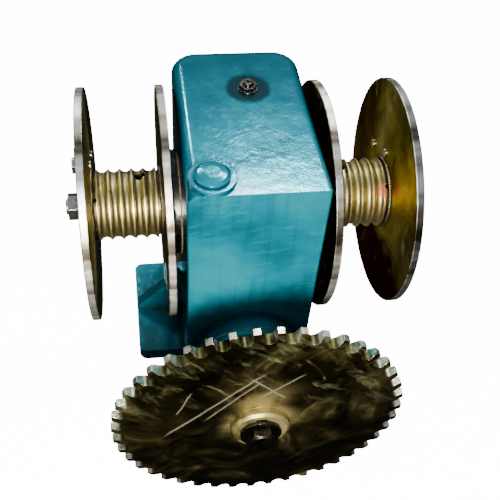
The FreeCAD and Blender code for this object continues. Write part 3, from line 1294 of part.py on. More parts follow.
def build():
    """Make every sub-part."""
    fill_sheet()
    gear_case()
    bottom_cover()
    cap_screws = [screw for side, sign in SIDES.items() for screw in side_cap(side, sign)]
    keep(group("side_cap_screws", cap_screws), "side_cap_screws")
    worm_screws = [screw for end, sign in ENDS.items() for screw in worm_cap(end, sign)]
    keep(group("worm_cap_screws", worm_screws), "worm_cap_screws")
    all_bearings()
    case_fittings()
    drum_shaft()
    both_drums()
    worm_wheel()
    worm_shaft()
    sprocket()
    doc.recompute()


def check():
    """Stop if any object failed or any sub-part is empty or broken."""
    failed = [item.Name for item in doc.Objects if {"Invalid", "Error"} & set(item.State)]
    if failed:
        raise RuntimeError(f"failed: {failed}")
    for node in nodes:
        if node.Shape.isNull() or not node.Shape.isValid() or node.Shape.Volume <= 0:
            raise RuntimeError(f"{node.Label} has no valid solid")


def write():
    """Write each sub-part to its own file."""
    os.makedirs("parts", exist_ok=True)
    for node in nodes:
        node.Shape.exportStep(f"parts/{node.Label}.step")
        solids = len(node.Shape.Solids)
        print(f"{node.Label:24s} {solids:3d} solids {node.Shape.Volume:12.1f} mm3")
    print(len(nodes), "sub-parts")


build()
check()
write()
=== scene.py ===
import bpy
import json
import math
from mathutils import Matrix, Vector


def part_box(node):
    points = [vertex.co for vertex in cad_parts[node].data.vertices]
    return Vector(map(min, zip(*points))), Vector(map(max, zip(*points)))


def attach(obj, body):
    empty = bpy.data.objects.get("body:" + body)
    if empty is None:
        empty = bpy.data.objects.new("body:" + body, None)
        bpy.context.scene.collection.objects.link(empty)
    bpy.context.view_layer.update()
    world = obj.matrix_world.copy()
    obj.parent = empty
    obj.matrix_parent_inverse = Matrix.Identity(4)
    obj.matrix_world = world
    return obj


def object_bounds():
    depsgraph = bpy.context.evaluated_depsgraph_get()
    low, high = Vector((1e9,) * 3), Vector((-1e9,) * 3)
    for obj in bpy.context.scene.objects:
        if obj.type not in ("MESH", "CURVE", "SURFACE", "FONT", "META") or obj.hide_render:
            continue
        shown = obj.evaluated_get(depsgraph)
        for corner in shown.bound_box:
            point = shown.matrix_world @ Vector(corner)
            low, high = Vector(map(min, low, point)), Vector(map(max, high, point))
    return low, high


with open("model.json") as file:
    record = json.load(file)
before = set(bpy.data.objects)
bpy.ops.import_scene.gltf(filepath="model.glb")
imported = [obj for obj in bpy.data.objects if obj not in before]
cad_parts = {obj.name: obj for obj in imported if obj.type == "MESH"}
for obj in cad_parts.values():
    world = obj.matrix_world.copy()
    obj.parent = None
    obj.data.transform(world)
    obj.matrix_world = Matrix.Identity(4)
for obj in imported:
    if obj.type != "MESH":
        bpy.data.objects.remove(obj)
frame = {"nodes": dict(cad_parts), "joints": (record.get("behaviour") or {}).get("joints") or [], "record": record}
cad_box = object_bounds()
NODES = frame["nodes"]
JOINTS = {joint["name"]: joint for joint in frame["joints"]}
DRUM_HEIGHT = JOINTS["drum_turn"]["pos_m"][2]
WORM_HEIGHT = JOINTS["worm_turn"]["pos_m"][2]


def half_size(node, axis):
    """Half of a CAD node's size along one axis."""
    low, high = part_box(node)
    return (high[axis] - low[axis]) / 2


def middle_of(node):
    """The middle of a CAD node's box."""
    low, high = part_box(node)
    return [(low[axis] + high[axis]) / 2 for axis in range(3)]


FLANGE_RADIUS = half_size("left_outer_flange", 2)
SPROCKET_RADIUS = half_size("sprocket", 0)
BARREL_RADIUS = half_size("left_rope_barrel", 2)

# ---- material toolkit --------------------------------------------------------------------

MIX_FACTOR, MIX_FIRST, MIX_SECOND = 0, 6, 7
MIX_RESULT = 2
EDGE_SAMPLES = 6
CREVICE_SAMPLES = 8


class Surface:
    """A node material with one Principled shader, and short calls for its procedural inputs."""

    def __init__(self, name, **sockets):
        self.material = bpy.data.materials.new(name)
        self.material.use_nodes = True
        self.tree = self.material.node_tree
        self.shader = self.tree.nodes["Principled BSDF"]
        for socket, value in sockets.items():
            self.shader.inputs[socket.replace("_", " ")].default_value = value

    def node(self, kind, **properties):
        item = self.tree.nodes.new(kind)
        for name, value in properties.items():
            setattr(item, name, value)
        return item

    def feed(self, socket, value):
        """Connect an output to a socket, or set the socket to a plain value."""
        if isinstance(value, bpy.types.NodeSocket):
            self.tree.links.new(value, socket)
        else:
            socket.default_value = value

    # positions, in metres on the piece at rest

    def place(self):
        """Position on the piece at rest."""
        return self.node("ShaderNodeTexCoord").outputs["Object"]

    def scaled(self, scale, turn=(0, 0, 0)):
        """Position turned, then stretched along each axis."""
        mapping = self.node("ShaderNodeMapping", vector_type="POINT")
        self.feed(mapping.inputs["Vector"], self.place())
        mapping.inputs["Rotation"].default_value = turn
        stretch = self.node("ShaderNodeVectorMath", operation="MULTIPLY")
        self.feed(stretch.inputs[0], mapping.outputs["Vector"])
        stretch.inputs[1].default_value = scale
        return stretch.outputs["Vector"]

    def split(self, where=None):
        """The three coordinates of a position."""
        item = self.node("ShaderNodeSeparateXYZ")
        self.feed(item.inputs["Vector"], self.place() if where is None else where)
        return item.outputs

    def rings(self, radius, scale):
        """A position that changes only with the distance from an axis, for turning marks."""
        item = self.node("ShaderNodeCombineXYZ")
        self.feed(item.inputs[0], self.times(radius, scale))
        return item.outputs["Vector"]

    def distance(self, centre, mask=(1, 1, 1)):
        """Distance from a point, counting only the axes in the mask."""
        item = self.node("ShaderNodeVectorMath", operation="SUBTRACT")
        self.feed(item.inputs[0], self.place())
        item.inputs[1].default_value = centre
        flat = self.node("ShaderNodeVectorMath", operation="MULTIPLY")
        self.feed(flat.inputs[0], item.outputs["Vector"])
        flat.inputs[1].default_value = mask
        size = self.node("ShaderNodeVectorMath", operation="LENGTH")
        self.feed(size.inputs[0], flat.outputs["Vector"])
        return size.outputs["Value"]

    def reach(self, axis, height):
        """Distance from a shaft axis that runs along X or Y at a height."""
        return self.distance((0, 0, height), (0, 1, 1) if axis == "X" else (1, 0, 1))

    def around(self, axis, height):
        """Angle about a shaft axis along X or Y, in radians."""
        item = self.split()
        across = item[1] if axis == "X" else item[0]
        up = self.minus(item[2], height)
        return self.math("ARCTAN2", up, across)

    def facing(self, index):
        """One coordinate of the surface direction."""
        return self.split(self.node("ShaderNodeNewGeometry").outputs["Normal"])[index]

    # arithmetic

    def math(self, operation, first, second=0.0):
        """One arithmetic step."""
        item = self.node("ShaderNodeMath", operation=operation)
        self.feed(item.inputs[0], first)
        self.feed(item.inputs[1], second)
        return item.outputs["Value"]

    def times(self, first, second):
        return self.math("MULTIPLY", first, second)

    def plus(self, first, second):
        return self.math("ADD", first, second)

    def minus(self, first, second):
        return self.math("SUBTRACT", first, second)

    def larger(self, first, second):
        return self.math("MAXIMUM", first, second)

    def step(self, value, low, high, flip=False):
        """0 below low, 1 above high, smooth between; flipped if asked."""
        item = self.node("ShaderNodeMapRange", interpolation_type="SMOOTHSTEP")
        self.feed(item.inputs["Value"], value)
        item.inputs["From Min"].default_value = low
        item.inputs["From Max"].default_value = high
        item.inputs["To Min"].default_value = 1.0 if flip else 0.0
        item.inputs["To Max"].default_value = 0.0 if flip else 1.0
        return item.outputs["Result"]

    # patterns

    def noise(self, scale, detail=4.0, roughness=0.55, distortion=0.0, where=None):
        """Soft noise from 0 to 1 with its scale in waves per metre."""
        item = self.node("ShaderNodeTexNoise")
        self.feed(item.inputs["Vector"], self.place() if where is None else where)
        item.inputs["Scale"].default_value = scale
        item.inputs["Detail"].default_value = detail
        item.inputs["Roughness"].default_value = roughness
        item.inputs["Distortion"].default_value = distortion
        return item.outputs["Fac"]

    def soft_edges(self, radius):
        """A normal that rounds sharp corners a little."""
        item = self.node("ShaderNodeBevel", samples=EDGE_SAMPLES)
        item.inputs["Radius"].default_value = radius
        return item.outputs["Normal"]

    def edges(self, reach=0.0014):
        """1 on corners of the shape, 0 on flat and gently curved faces."""
        true = self.node("ShaderNodeNewGeometry").outputs["Normal"]
        item = self.node("ShaderNodeVectorMath", operation="DOT_PRODUCT")
        self.feed(item.inputs[0], true)
        self.feed(item.inputs[1], self.soft_edges(reach))
        return self.step(item.outputs["Value"], 0.80, 0.985, flip=True)

    def hollows(self, reach):
        """1 in corners and crevices, 0 in the open."""
        item = self.node("ShaderNodeAmbientOcclusion", samples=CREVICE_SAMPLES)
        item.inputs["Distance"].default_value = reach
        return self.step(item.outputs["AO"], 0.35, 0.95, flip=True)

    # colours

    def ramp(self, factor, stops):
        """Colours or greys at positions along a factor."""
        item = self.node("ShaderNodeValToRGB")
        self.feed(item.inputs["Fac"], factor)
        band = item.color_ramp
        while len(band.elements) < len(stops):
            band.elements.new(0.5)
        for element, (position, colour) in zip(band.elements, stops):
            element.position = position
            if not isinstance(colour, (tuple, list)):
                colour = (colour, colour, colour)
            element.color = (*colour, 1.0)
        return item.outputs["Color"]

    def mix(self, factor, first, second):
        """Blend of two colours."""
        item = self.node("ShaderNodeMix", data_type="RGBA")
        self.feed(item.inputs[MIX_FACTOR], factor)
        for index, value in ((MIX_FIRST, first), (MIX_SECOND, second)):
            if isinstance(value, tuple):
                value = (*value, 1.0)
            self.feed(item.inputs[index], value)
        return item.outputs[MIX_RESULT]

    def tint(self, tone, colour, mask, amount):
        """A colour laid over a tone where a mask is 1, at a share of full strength."""
        return self.mix(self.times(mask, amount), tone, colour)

    # shader inputs

    def bump(self, height, strength, distance, under=None):
        """A bump, over another one if given."""
        item = self.node("ShaderNodeBump")
        self.feed(item.inputs["Height"], height)
        item.inputs["Strength"].default_value = strength
        item.inputs["Distance"].default_value = distance
        if under is not None:
            self.feed(item.inputs["Normal"], under)
        return item.outputs["Normal"]

    def radial(self, axis):
        """Make the shader's highlight follow turning marks about an axis."""
        item = self.node("ShaderNodeTangent", direction_type="RADIAL", axis=axis)
        self.feed(self.shader.inputs["Tangent"], item.outputs["Tangent"])

    def colour(self, value):
        self.feed(self.shader.inputs["Base Color"], value)

    def rough(self, value):
        self.feed(self.shader.inputs["Roughness"], value)

    def normal(self, value):
        self.feed(self.shader.inputs["Normal"], value)

    def metal(self, value):
        self.feed(self.shader.inputs["Metallic"], value)


# ---- materials ---------------------------------------------------------------------------

TEAL_DARK = (0.0008, 0.050, 0.072)
TEAL_MID = (0.002, 0.185, 0.250)
TEAL_LIGHT = (0.010, 0.330, 0.390)
TEAL_CREVICE_SHADE = (0.001, 0.006, 0.008)
GREASY_TEAL = (0.002, 0.012, 0.010)
CYAN_GLOSS = (0.45, 1.0, 1.0, 1.0)
PRIMER = (0.05, 0.035, 0.025)

# Dark oil stain colour, also used for painted shade in hollows and the painted dark reflection on the flanges.
OIL_STAIN_AND_SHADE = (0.004, 0.0035, 0.002)
BROWN_OIL = (0.050, 0.038, 0.010)
OLIVE = (0.085, 0.070, 0.020)
OLIVE_PALE = (0.30, 0.24, 0.09)
GREEN_FILM = (0.20, 0.23, 0.10)
FAN_HIGHLIGHT_STEEL = (0.42, 0.33, 0.12)
SCRATCH_STEEL = (0.60, 0.55, 0.36)
TIP_DULL = (0.40, 0.33, 0.18)
TIP_BRIGHT = (0.92, 0.86, 0.66)

RIM_DULL = (0.05, 0.042, 0.028)
RIM_MID = (0.36, 0.32, 0.24)
RIM_BRIGHT = (0.88, 0.86, 0.78)
OLIVE_GLOSS = (0.42, 0.34, 0.16, 1.0)
RUST = (0.13, 0.045, 0.014)

GOLD_DARK = (0.30, 0.22, 0.08)
GOLD_STEEL = (0.72, 0.60, 0.27)
PALE_STEEL = (0.96, 0.90, 0.68)
GROOVE_SHADE = (0.16, 0.12, 0.045)
BARREL_GRIME = (0.10, 0.07, 0.03)
RED_PAINT = (0.45, 0.05, 0.02)

# Where the paint of the case changes, from and to: heights, then depth towards the back. The top, foot and back
# fades place painted shade.
CASE_TOP_FADE = (DRUM_HEIGHT + 0.048, DRUM_HEIGHT + 0.078)
CASE_CHIP_FADE = (DRUM_HEIGHT + 0.018, DRUM_HEIGHT + 0.058)
CASE_FOOT_FADE = (0.0, 0.085)
GREASE_HEIGHT_FADE = (DRUM_HEIGHT + 0.058, DRUM_HEIGHT + 0.078)
CASE_BACK_FADE = (-0.03, 0.07)
# Radii between which the grease round the breather ends.
GREASE_RING = (0.017, 0.022)


def case_paint():
    """Glossy teal enamel brushed over a sand-cast skin, with runs, grease and chips, and painted shade on the back
    of the top, the sides, the foot and in the crevices.
    """
    s = Surface("teal_enamel", Metallic=0.3, Coat_Weight=0.5, Coat_Roughness=0.13, IOR=1.5)
    s.shader.inputs["Specular Tint"].default_value = CYAN_GLOSS
    s.shader.inputs["Coat Tint"].default_value = CYAN_GLOSS
    patches = s.noise(14, 3, 0.6, 0.4)
    brushed = s.noise(1, 5, 0.6, 0.3, s.scaled((50, 60, 300), turn=(0.0, 0.14, 0.0)))
    runs = s.noise(1, 3, 0.5, 0.2, s.scaled((170, 170, 12)))
    tone = s.ramp(patches, [(0.25, TEAL_DARK), (0.5, TEAL_MID), (0.8, TEAL_LIGHT)])
    tone = s.tint(tone, TEAL_LIGHT, s.step(brushed, 0.5, 0.75), 0.45)
    tone = s.tint(tone, TEAL_DARK, s.step(runs, 0.52, 0.75), 0.25)

    height = s.split()[2]
    # Painted shade: the back of the top darker, where the light falls off.
    back = s.times(s.step(s.split()[1], *CASE_BACK_FADE), s.step(height, *CASE_TOP_FADE))
    tone = s.tint(tone, TEAL_DARK, back, 0.85)
    # Painted shade: faces turned to the left or right darker.
    sides = s.step(s.math("ABSOLUTE", s.facing(0)), 0.15, 0.85)
    tone = s.tint(tone, TEAL_DARK, sides, 0.7)
    # Painted shade: darker towards the bottom and on the foot.
    tone = s.tint(tone, TEAL_DARK, s.step(height, *CASE_FOOT_FADE, flip=True), 0.6)
    # Painted shade in corners and crevices.
    tone = s.tint(tone, TEAL_CREVICE_SHADE, s.hollows(0.014), 0.9)

    wet = s.plus(s.distance(middle_of("breather"), (1, 1, 0)), s.times(s.noise(120, 4, 0.7), 0.006))
    grease = s.times(s.step(wet, *GREASE_RING, flip=True), s.step(height, *GREASE_HEIGHT_FADE))
    tone = s.tint(tone, GREASY_TEAL, grease, 0.9)

    worn = s.times(s.step(s.noise(190, 4, 0.7), 0.68, 0.72), s.step(s.noise(23, 2), 0.54, 0.64))
    worn = s.times(worn, s.step(height, *CASE_CHIP_FADE, flip=True))
    rubbed = s.times(s.edges(), s.step(s.noise(90, 4, 0.7), 0.52, 0.62))
    chips = s.larger(worn, s.times(rubbed, 0.8))
    tone = s.mix(chips, tone, PRIMER)
    s.colour(tone)
    s.metal(s.minus(0.3, s.times(chips, 0.3)))
    s.rough(s.mix(grease, s.ramp(s.noise(90, 4, 0.6), [(0.3, 0.13), (0.7, 0.25)]), (0.10, 0.10, 0.10)))

    cast = s.noise(380, 3, 0.6)
    lumps = s.noise(48, 4, 0.55, 0.5)
    relief = s.plus(s.times(cast, 0.2), s.plus(lumps, s.times(brushed, 0.7)))
    relief = s.plus(relief, s.times(runs, 0.4))
    relief = s.minus(relief, s.times(chips, 0.3))
    s.normal(s.bump(relief, 0.7, 0.0006, s.soft_edges(0.0012)))
    return s.material


# Long scratches on the sprocket: across and up from its axis, angle, length, width.
SCRATCHES = [
    ((-0.036, 0.030), 0.80, 0.120, 0.0011),
    ((-0.022, 0.034), 0.86, 0.070, 0.0009),
    ((0.004, 0.048), -0.80, 0.046, 0.0009),
    ((0.014, 0.050), 0.70, 0.046, 0.0009),
    ((-0.058, 0.036), 1.20, 0.034, 0.0007),
]
SCRATCH_WIDEN = 1.4
SPROCKET_MARKS = 2600
# Radii on the sprocket between which its painted highlight, a warm fan and ring at the hub, fades, and its bright
# tips begin.
WARM_FAN = (0.022, 0.075)
WARM_RING = (0.020, 0.038)
TIP_BAND = (SPROCKET_RADIUS - 0.0080, SPROCKET_RADIUS - 0.0045)


def streak(surface, middle, angle, length, width):
    """One scratch on a face square to Y: 1 along a short line, wandering a little."""
    mapping = surface.node("ShaderNodeMapping", vector_type="TEXTURE")
    surface.feed(mapping.inputs["Vector"], surface.place())
    mapping.inputs["Location"].default_value = (middle[0], 0, middle[1])
    mapping.inputs["Rotation"].default_value = (0, -angle, 0)
    lengthwise, _, sideways = surface.split(mapping.outputs["Vector"])
    wobble = surface.times(surface.minus(surface.noise(60, 2), 0.5), width * 2)
    across = surface.math("ABSOLUTE", surface.plus(sideways, wobble))
    along = surface.math("ABSOLUTE", lengthwise)
    thin = surface.step(across, width * 0.3, width, flip=True)
    ends = surface.step(along, length * 0.35, length * 0.5, flip=True)
    return surface.times(thin, ends)


def sprocket_steel():
    """Oily dark sprocket steel: olive stain, dark smears, long scratches, bright tooth tips, and a painted
    highlight fanning up from the hub.
    """
    s = Surface("oily_sprocket_steel", Anisotropic=0.65, Specular_IOR_Level=0.5)
    s.radial("Y")
    radius = s.reach("Y", WORM_HEIGHT)
    smears = s.noise(22, 5, 0.62, 1.2)
    tone = s.ramp(smears, [(0.30, OIL_STAIN_AND_SHADE), (0.48, BROWN_OIL), (0.62, OLIVE), (0.82, OLIVE_PALE)])
    swept = s.noise(1, 4, 0.6, 1.0, s.scaled((30, 30, 90), turn=(0, -0.8, 0)))
    upper = (WORM_HEIGHT, WORM_HEIGHT + 0.06)
    green = s.times(s.step(swept, 0.5, 0.72), s.step(s.split()[2], *upper))
    tone = s.tint(tone, GREEN_FILM, green, 0.8)

    # Painted highlight: a warm fan up from the hub and a ring round it.
    upward = s.math("ABSOLUTE", s.minus(s.around("Y", WORM_HEIGHT), math.pi / 2))
    highlight_fan = s.times(s.step(upward, 0.2, 0.95, flip=True), s.step(radius, *WARM_FAN, flip=True))
    near = s.step(radius, *WARM_RING, flip=True)
    warm = s.times(s.larger(highlight_fan, near), s.step(s.noise(60, 4), 0.25, 0.6))
    tone = s.tint(tone, FAN_HIGHLIGHT_STEEL, warm, 0.85)

    scratches = None
    for (across, up), angle, length, width in SCRATCHES:
        line = streak(s, (across, WORM_HEIGHT + up), angle, length, SCRATCH_WIDEN * width)
        scratches = line if scratches is None else s.larger(scratches, line)
    fine = s.step(s.noise(1, 2, 0.5, 0.3, s.scaled((12, 12, 900), turn=(0, 0.7, 0))), 0.66, 0.74)
    fine = s.times(fine, s.step(s.noise(28, 2), 0.45, 0.65))
    scratches = s.larger(s.times(scratches, 0.6), s.times(fine, 0.4))
    tone = s.mix(scratches, tone, SCRATCH_STEEL)

    tips = s.step(radius, *TIP_BAND)
    flank = s.times(tips, s.step(s.math("ABSOLUTE", s.facing(1)), 0.3, 0.6, flip=True))
    pitted = s.mix(s.step(s.noise(150, 3), 0.35, 0.6), TIP_DULL, TIP_BRIGHT)
    tone = s.mix(flank, tone, pitted)
    s.colour(tone)

    dry = s.larger(s.larger(green, scratches), s.times(warm, 0.8))
    dry = s.larger(dry, s.times(s.step(smears, 0.5, 0.8), 0.8))
    s.metal(s.minus(0.97, s.times(dry, 0.5)))
    polish = s.ramp(smears, [(0.3, 0.24), (0.7, 0.42)])
    s.rough(s.mix(flank, polish, (0.25, 0.25, 0.25)))
    rings = s.noise(1, 2, 0.5, 0.0, s.rings(radius, SPROCKET_MARKS))
    bumps = s.bump(rings, 0.2, 0.0002, s.soft_edges(0.0005))
    bumps = s.bump(s.noise(120, 4, 0.6), 0.35, 0.0005, bumps)
    s.normal(s.bump(s.times(scratches, -1.0), 0.4, 0.0003, bumps))
    return s.material


# Radii of the silvery rim, height and depth of the painted dark reflection on the flange faces, each from and to.
RIM_BAND = (FLANGE_RADIUS - 0.0012, FLANGE_RADIUS - 0.0004)
DARK_REFLECTION_HEIGHT = (DRUM_HEIGHT - 0.036, DRUM_HEIGHT - 0.012)
DARK_REFLECTION_DEPTH = (0.020, 0.055)
RIM_BANDS = 2.4
FLANGE_MARKS = 2200


def flange_steel(name, face, stain, roughness, rust_amount):
    """Turned flange steel: fine rings on the faces, a silvery rim, light rust, a painted dark reflection low down
    and towards the back, and painted shade in the hollows.
    """
    s = Surface(name, Metallic=1.0, Anisotropic=0.7)
    s.shader.inputs["Specular Tint"].default_value = OLIVE_GLOSS
    s.radial("X")
    radius = s.reach("X", DRUM_HEIGHT)
    patches = s.noise(26, 5, 0.6, 1.0)
    bright = tuple(min(1.0, channel * 1.35) for channel in face)
    tone = s.ramp(patches, [(0.3, stain), (0.62, face), (0.85, bright)])
    rim = s.step(radius, *RIM_BAND)
    turn = s.node("ShaderNodeCombineXYZ")
    s.feed(turn.inputs[0], s.times(s.around("X", DRUM_HEIGHT), RIM_BANDS))
    bands = s.noise(1, 3, 0.6, 0.3, turn.outputs["Vector"])
    tone = s.mix(rim, tone, s.ramp(bands, [(0.38, RIM_DULL), (0.5, RIM_MID), (0.62, RIM_BRIGHT)]))

    # Painted dark reflection: the faces darker below a ragged height and towards the back.
    ragged = s.times(s.minus(s.noise(45, 4, 0.6), 0.5), 0.05)
    low_reflection = s.step(s.plus(s.split()[2], ragged), *DARK_REFLECTION_HEIGHT, flip=True)
    back_reflection = s.step(s.plus(s.split()[1], ragged), *DARK_REFLECTION_DEPTH)
    dark_reflection = s.times(s.larger(low_reflection, s.times(back_reflection, 0.8)), 0.93)
    dark_reflection = s.times(dark_reflection, s.minus(1.0, rim))
    tone = s.mix(dark_reflection, tone, OIL_STAIN_AND_SHADE)
    rust = s.times(s.step(s.noise(38, 5, 0.7, 0.6), 0.56, 0.68), rust_amount)
    tone = s.mix(rust, tone, RUST)
    # Painted shade in the hollows.
    tone = s.tint(tone, OIL_STAIN_AND_SHADE, s.hollows(0.012), 0.85)
    s.colour(tone)
    s.metal(s.minus(1.0, s.times(rust, 0.7)))

    base = s.ramp(patches, [(0.3, roughness + 0.12), (0.7, roughness)])
    wet = s.mix(dark_reflection, base, (0.12, 0.12, 0.12))
    s.rough(s.mix(rust, wet, (0.75, 0.75, 0.75)))
    rings = s.noise(1, 2, 0.6, 0.0, s.rings(radius, FLANGE_MARKS))
    bumps = s.bump(rings, 0.3, 0.00025, s.soft_edges(0.0006))
    s.normal(s.bump(s.noise(150, 4, 0.6), 0.2, 0.0004, bumps))
    return s.material


# Radii between which the painted shade in a groove's bottom ends, and the red mark's place and edge.
GROOVE_BAND = (BARREL_RADIUS - 0.0022, BARREL_RADIUS - 0.0004)
PAINT_DAB = (0.112, -0.018, DRUM_HEIGHT + 0.018)
DAB_EDGE = (0.0075, 0.0095)


def drum_steel():
    """Pale gold rope barrel: bright ridges, painted shade in the groove bottoms and hollows, fine turning marks.
    """
    s = Surface("grooved_drum_steel", Metallic=1.0, Anisotropic=0.5)
    s.radial("X")
    radius = s.reach("X", DRUM_HEIGHT)
    patches = s.noise(40, 4, 0.6, 0.6)
    tone = s.ramp(patches, [(0.3, GOLD_DARK), (0.6, GOLD_STEEL), (0.85, PALE_STEEL)])
    # Painted shade in the groove bottoms.
    tone = s.tint(tone, GROOVE_SHADE, s.step(radius, *GROOVE_BAND, flip=True), 0.45)
    tone = s.tint(tone, BARREL_GRIME, s.step(s.noise(60, 4, 0.7, 0.8), 0.56, 0.7), 0.5)
    dab = s.plus(s.distance(PAINT_DAB), s.times(s.noise(160, 4, 0.7), 0.006))
    dab = s.step(dab, *DAB_EDGE, flip=True)
    tone = s.tint(tone, RED_PAINT, dab, 0.8)
    # Painted shade in the hollows.
    tone = s.tint(tone, OIL_STAIN_AND_SHADE, s.hollows(0.010), 0.85)
    s.colour(tone)
    s.metal(s.minus(1.0, s.times(dab, 0.7)))
    s.rough(s.ramp(patches, [(0.3, 0.46), (0.7, 0.32)]))
    marks = s.noise(1, 3, 0.6, 0.0, s.scaled((1800, 12, 12)))
    bumps = s.bump(marks, 0.3, 0.0002, s.soft_edges(0.0005))
    s.normal(s.bump(s.noise(160, 4, 0.6), 0.25, 0.0004, bumps))
    return s.material


CAST_GRAIN = (300, 300, 300)
TURNED_GRAIN = (900, 60, 60)


def plain_metal(name, dark, bright, roughness, grain=CAST_GRAIN):
    """Machined or cast metal: two tones, painted shade in corners, worn edges and a fine grain."""
    s = Surface(name, Metallic=1.0)
    patches = s.noise(70, 5, 0.6, 0.5)
    tone = s.ramp(patches, [(0.3, dark), (0.7, bright)])
    # Painted shade in corners.
    tone = s.tint(tone, OIL_STAIN_AND_SHADE, s.hollows(0.004), 0.5)
    polished = tuple(min(1.0, channel * 1.6 + 0.05) for channel in bright)
    tone = s.tint(tone, polished, s.edges(), 0.5)
    s.colour(tone)
    s.rough(s.ramp(s.noise(120, 4, 0.6), [(0.3, roughness - 0.06), (0.7, roughness + 0.12)]))
    grained = s.noise(1, 4, 0.6, 0.0, s.scaled(grain))
    s.normal(s.bump(grained, 0.3, 0.0003, s.soft_edges(0.0005)))
    return s.material


def soft_material(name, dark, light, roughness, scale):
    """Rubber or paper: matte, faintly mottled, with a fine texture."""
    s = Surface(name, Metallic=0.0, Specular_IOR_Level=0.35)
    s.colour(s.ramp(s.noise(scale / 4, 4, 0.6), [(0.3, dark), (0.7, light)]))
    s.rough(s.ramp(s.noise(scale / 2, 3), [(0.3, roughness - 0.08), (0.7, roughness + 0.08)]))
    s.normal(s.bump(s.noise(scale, 4, 0.7), 0.3, 0.0002))
    return s.material


# Finish, material name, face colour, stain colour, roughness, share of rust.
FLANGES = [
    ("flange_steel", "turned_flange_steel", (0.66, 0.60, 0.20), (0.12, 0.10, 0.03), 0.26, 0.35),
    ("inner_flange", "oiled_flange_steel", (0.035, 0.030, 0.018), (0.008, 0.007, 0.004), 0.34, 0.9),
]

# Finish, material name, dark tone, bright tone, roughness, and the grain where it isn't cast.
METALS = [
    ("cast_iron", "machined_cast_iron", (0.06, 0.055, 0.05), (0.14, 0.13, 0.12), 0.45),
    ("cap_iron", "dark_cap_iron", (0.030, 0.028, 0.024), (0.16, 0.145, 0.12), 0.28),
    ("shaft_steel", "ground_shaft_steel", (0.34, 0.31, 0.26), (0.66, 0.62, 0.55), 0.24, TURNED_GRAIN),
    ("bearing_steel", "bearing_steel", (0.55, 0.55, 0.55), (0.75, 0.75, 0.76), 0.14),
    ("cage_brass", "cage_brass", (0.38, 0.24, 0.08), (0.66, 0.47, 0.18), 0.3),
    ("bronze", "wheel_bronze", (0.34, 0.19, 0.06), (0.62, 0.40, 0.15), 0.3),
    ("fastener_steel", "black_fasteners", (0.03, 0.028, 0.026), (0.16, 0.15, 0.14), 0.34),
    ("weld", "weld_bead", (0.10, 0.075, 0.04), (0.42, 0.34, 0.20), 0.34),
    ("oiled_steel", "oiled_fasteners", (0.012, 0.011, 0.009), (0.085, 0.080, 0.065), 0.26),
    ("nut_steel", "bright_nuts", (0.30, 0.28, 0.24), (0.70, 0.68, 0.62), 0.28),
]

# Finish, material name, dark tone, light tone, roughness, texture scale in waves per metre.
SOFT_MATERIALS = [
    ("seal_rubber", "seal_rubber", (0.008, 0.008, 0.008), (0.022, 0.022, 0.022), 0.55, 900),
    ("gasket_paper", "gasket_paper", (0.16, 0.10, 0.05), (0.30, 0.21, 0.12), 0.85, 1400),
]

# Nodes that look different from the rest of their slot.
VARIANTS = {
    "left_inner_flange": "inner_flange",
    "right_inner_flange": "inner_flange",
    "breather": "oiled_steel",
    "sprocket_bolt": "oiled_steel",
    "sprocket_washer": "oiled_steel",
}


def make_materials():
    """One material for each slot of the record, and the variants for single nodes."""
    finishes = {
        "case_paint": case_paint(),
        "sprocket_steel": sprocket_steel(),
        "drum_steel": drum_steel(),
    }
    for make, table in ((flange_steel, FLANGES), (plain_metal, METALS), (soft_material, SOFT_MATERIALS)):
        for finish, *settings in table:
            finishes[finish] = make(*settings)
    return finishes


def dress_nodes(finishes):
    """Give every CAD node the material of its slot."""
    slots = {entry["node"]: entry["material_slot"] for entry in frame["record"]["subparts"]}
    for name, node in NODES.items():
        choice = VARIANTS.get(name, slots[name])
        node.data.materials.clear()
        node.data.materials.append(finishes[choice])


# ---- modelled detail -----------------------------------------------------------------------

BEAD_STEPS = 360
BEAD_SIDES = 10
BEAD_THICKNESS = 0.0016
BEAD_SINK = 0.0006
# Length of bead for one radian of a ripple.
RIPPLE_LENGTH = 0.00035
RIPPLE_DEPTH = 0.16
SLOW_WAVES = 7
SLOW_DEPTH = 0.06
SLOW_START = 1.0


def bead_point(centre, radius, turn, side):
    """One point of a rippled ring about X."""
    ripples = round(radius / RIPPLE_LENGTH)
    slow = SLOW_DEPTH * math.sin(SLOW_WAVES * turn + SLOW_START)
    thickness = BEAD_THICKNESS * (1.0 + RIPPLE_DEPTH * math.sin(ripples * turn) + slow)
    out = radius + thickness * math.cos(side)
    along = thickness * math.sin(side)
    return (centre[0] + along, centre[1] + out * math.cos(turn), centre[2] + out * math.sin(turn))


def weld_bead(name, centre, radius, material):
    """A rippled weld bead round the cross shaft's axis, riding on the shaft."""
    points = []
    faces = []
    for step in range(BEAD_STEPS):
        turn = 2 * math.pi * step / BEAD_STEPS
        after = (step + 1) % BEAD_STEPS
        for corner in range(BEAD_SIDES):
            beside = (corner + 1) % BEAD_SIDES
            points.append(bead_point(centre, radius, turn, 2 * math.pi * corner / BEAD_SIDES))
            faces.append((
                step * BEAD_SIDES + corner,
                after * BEAD_SIDES + corner,
                after * BEAD_SIDES + beside,
                step * BEAD_SIDES + beside,
            ))
    mesh = bpy.data.meshes.new(name)
    mesh.from_pydata(points, [], faces)
    mesh.polygons.foreach_set("use_smooth", [True] * len(faces))
    mesh.materials.append(material)
    piece = bpy.data.objects.new(name, mesh)
    bpy.context.scene.collection.objects.link(piece)
    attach(piece, "cross_shaft")


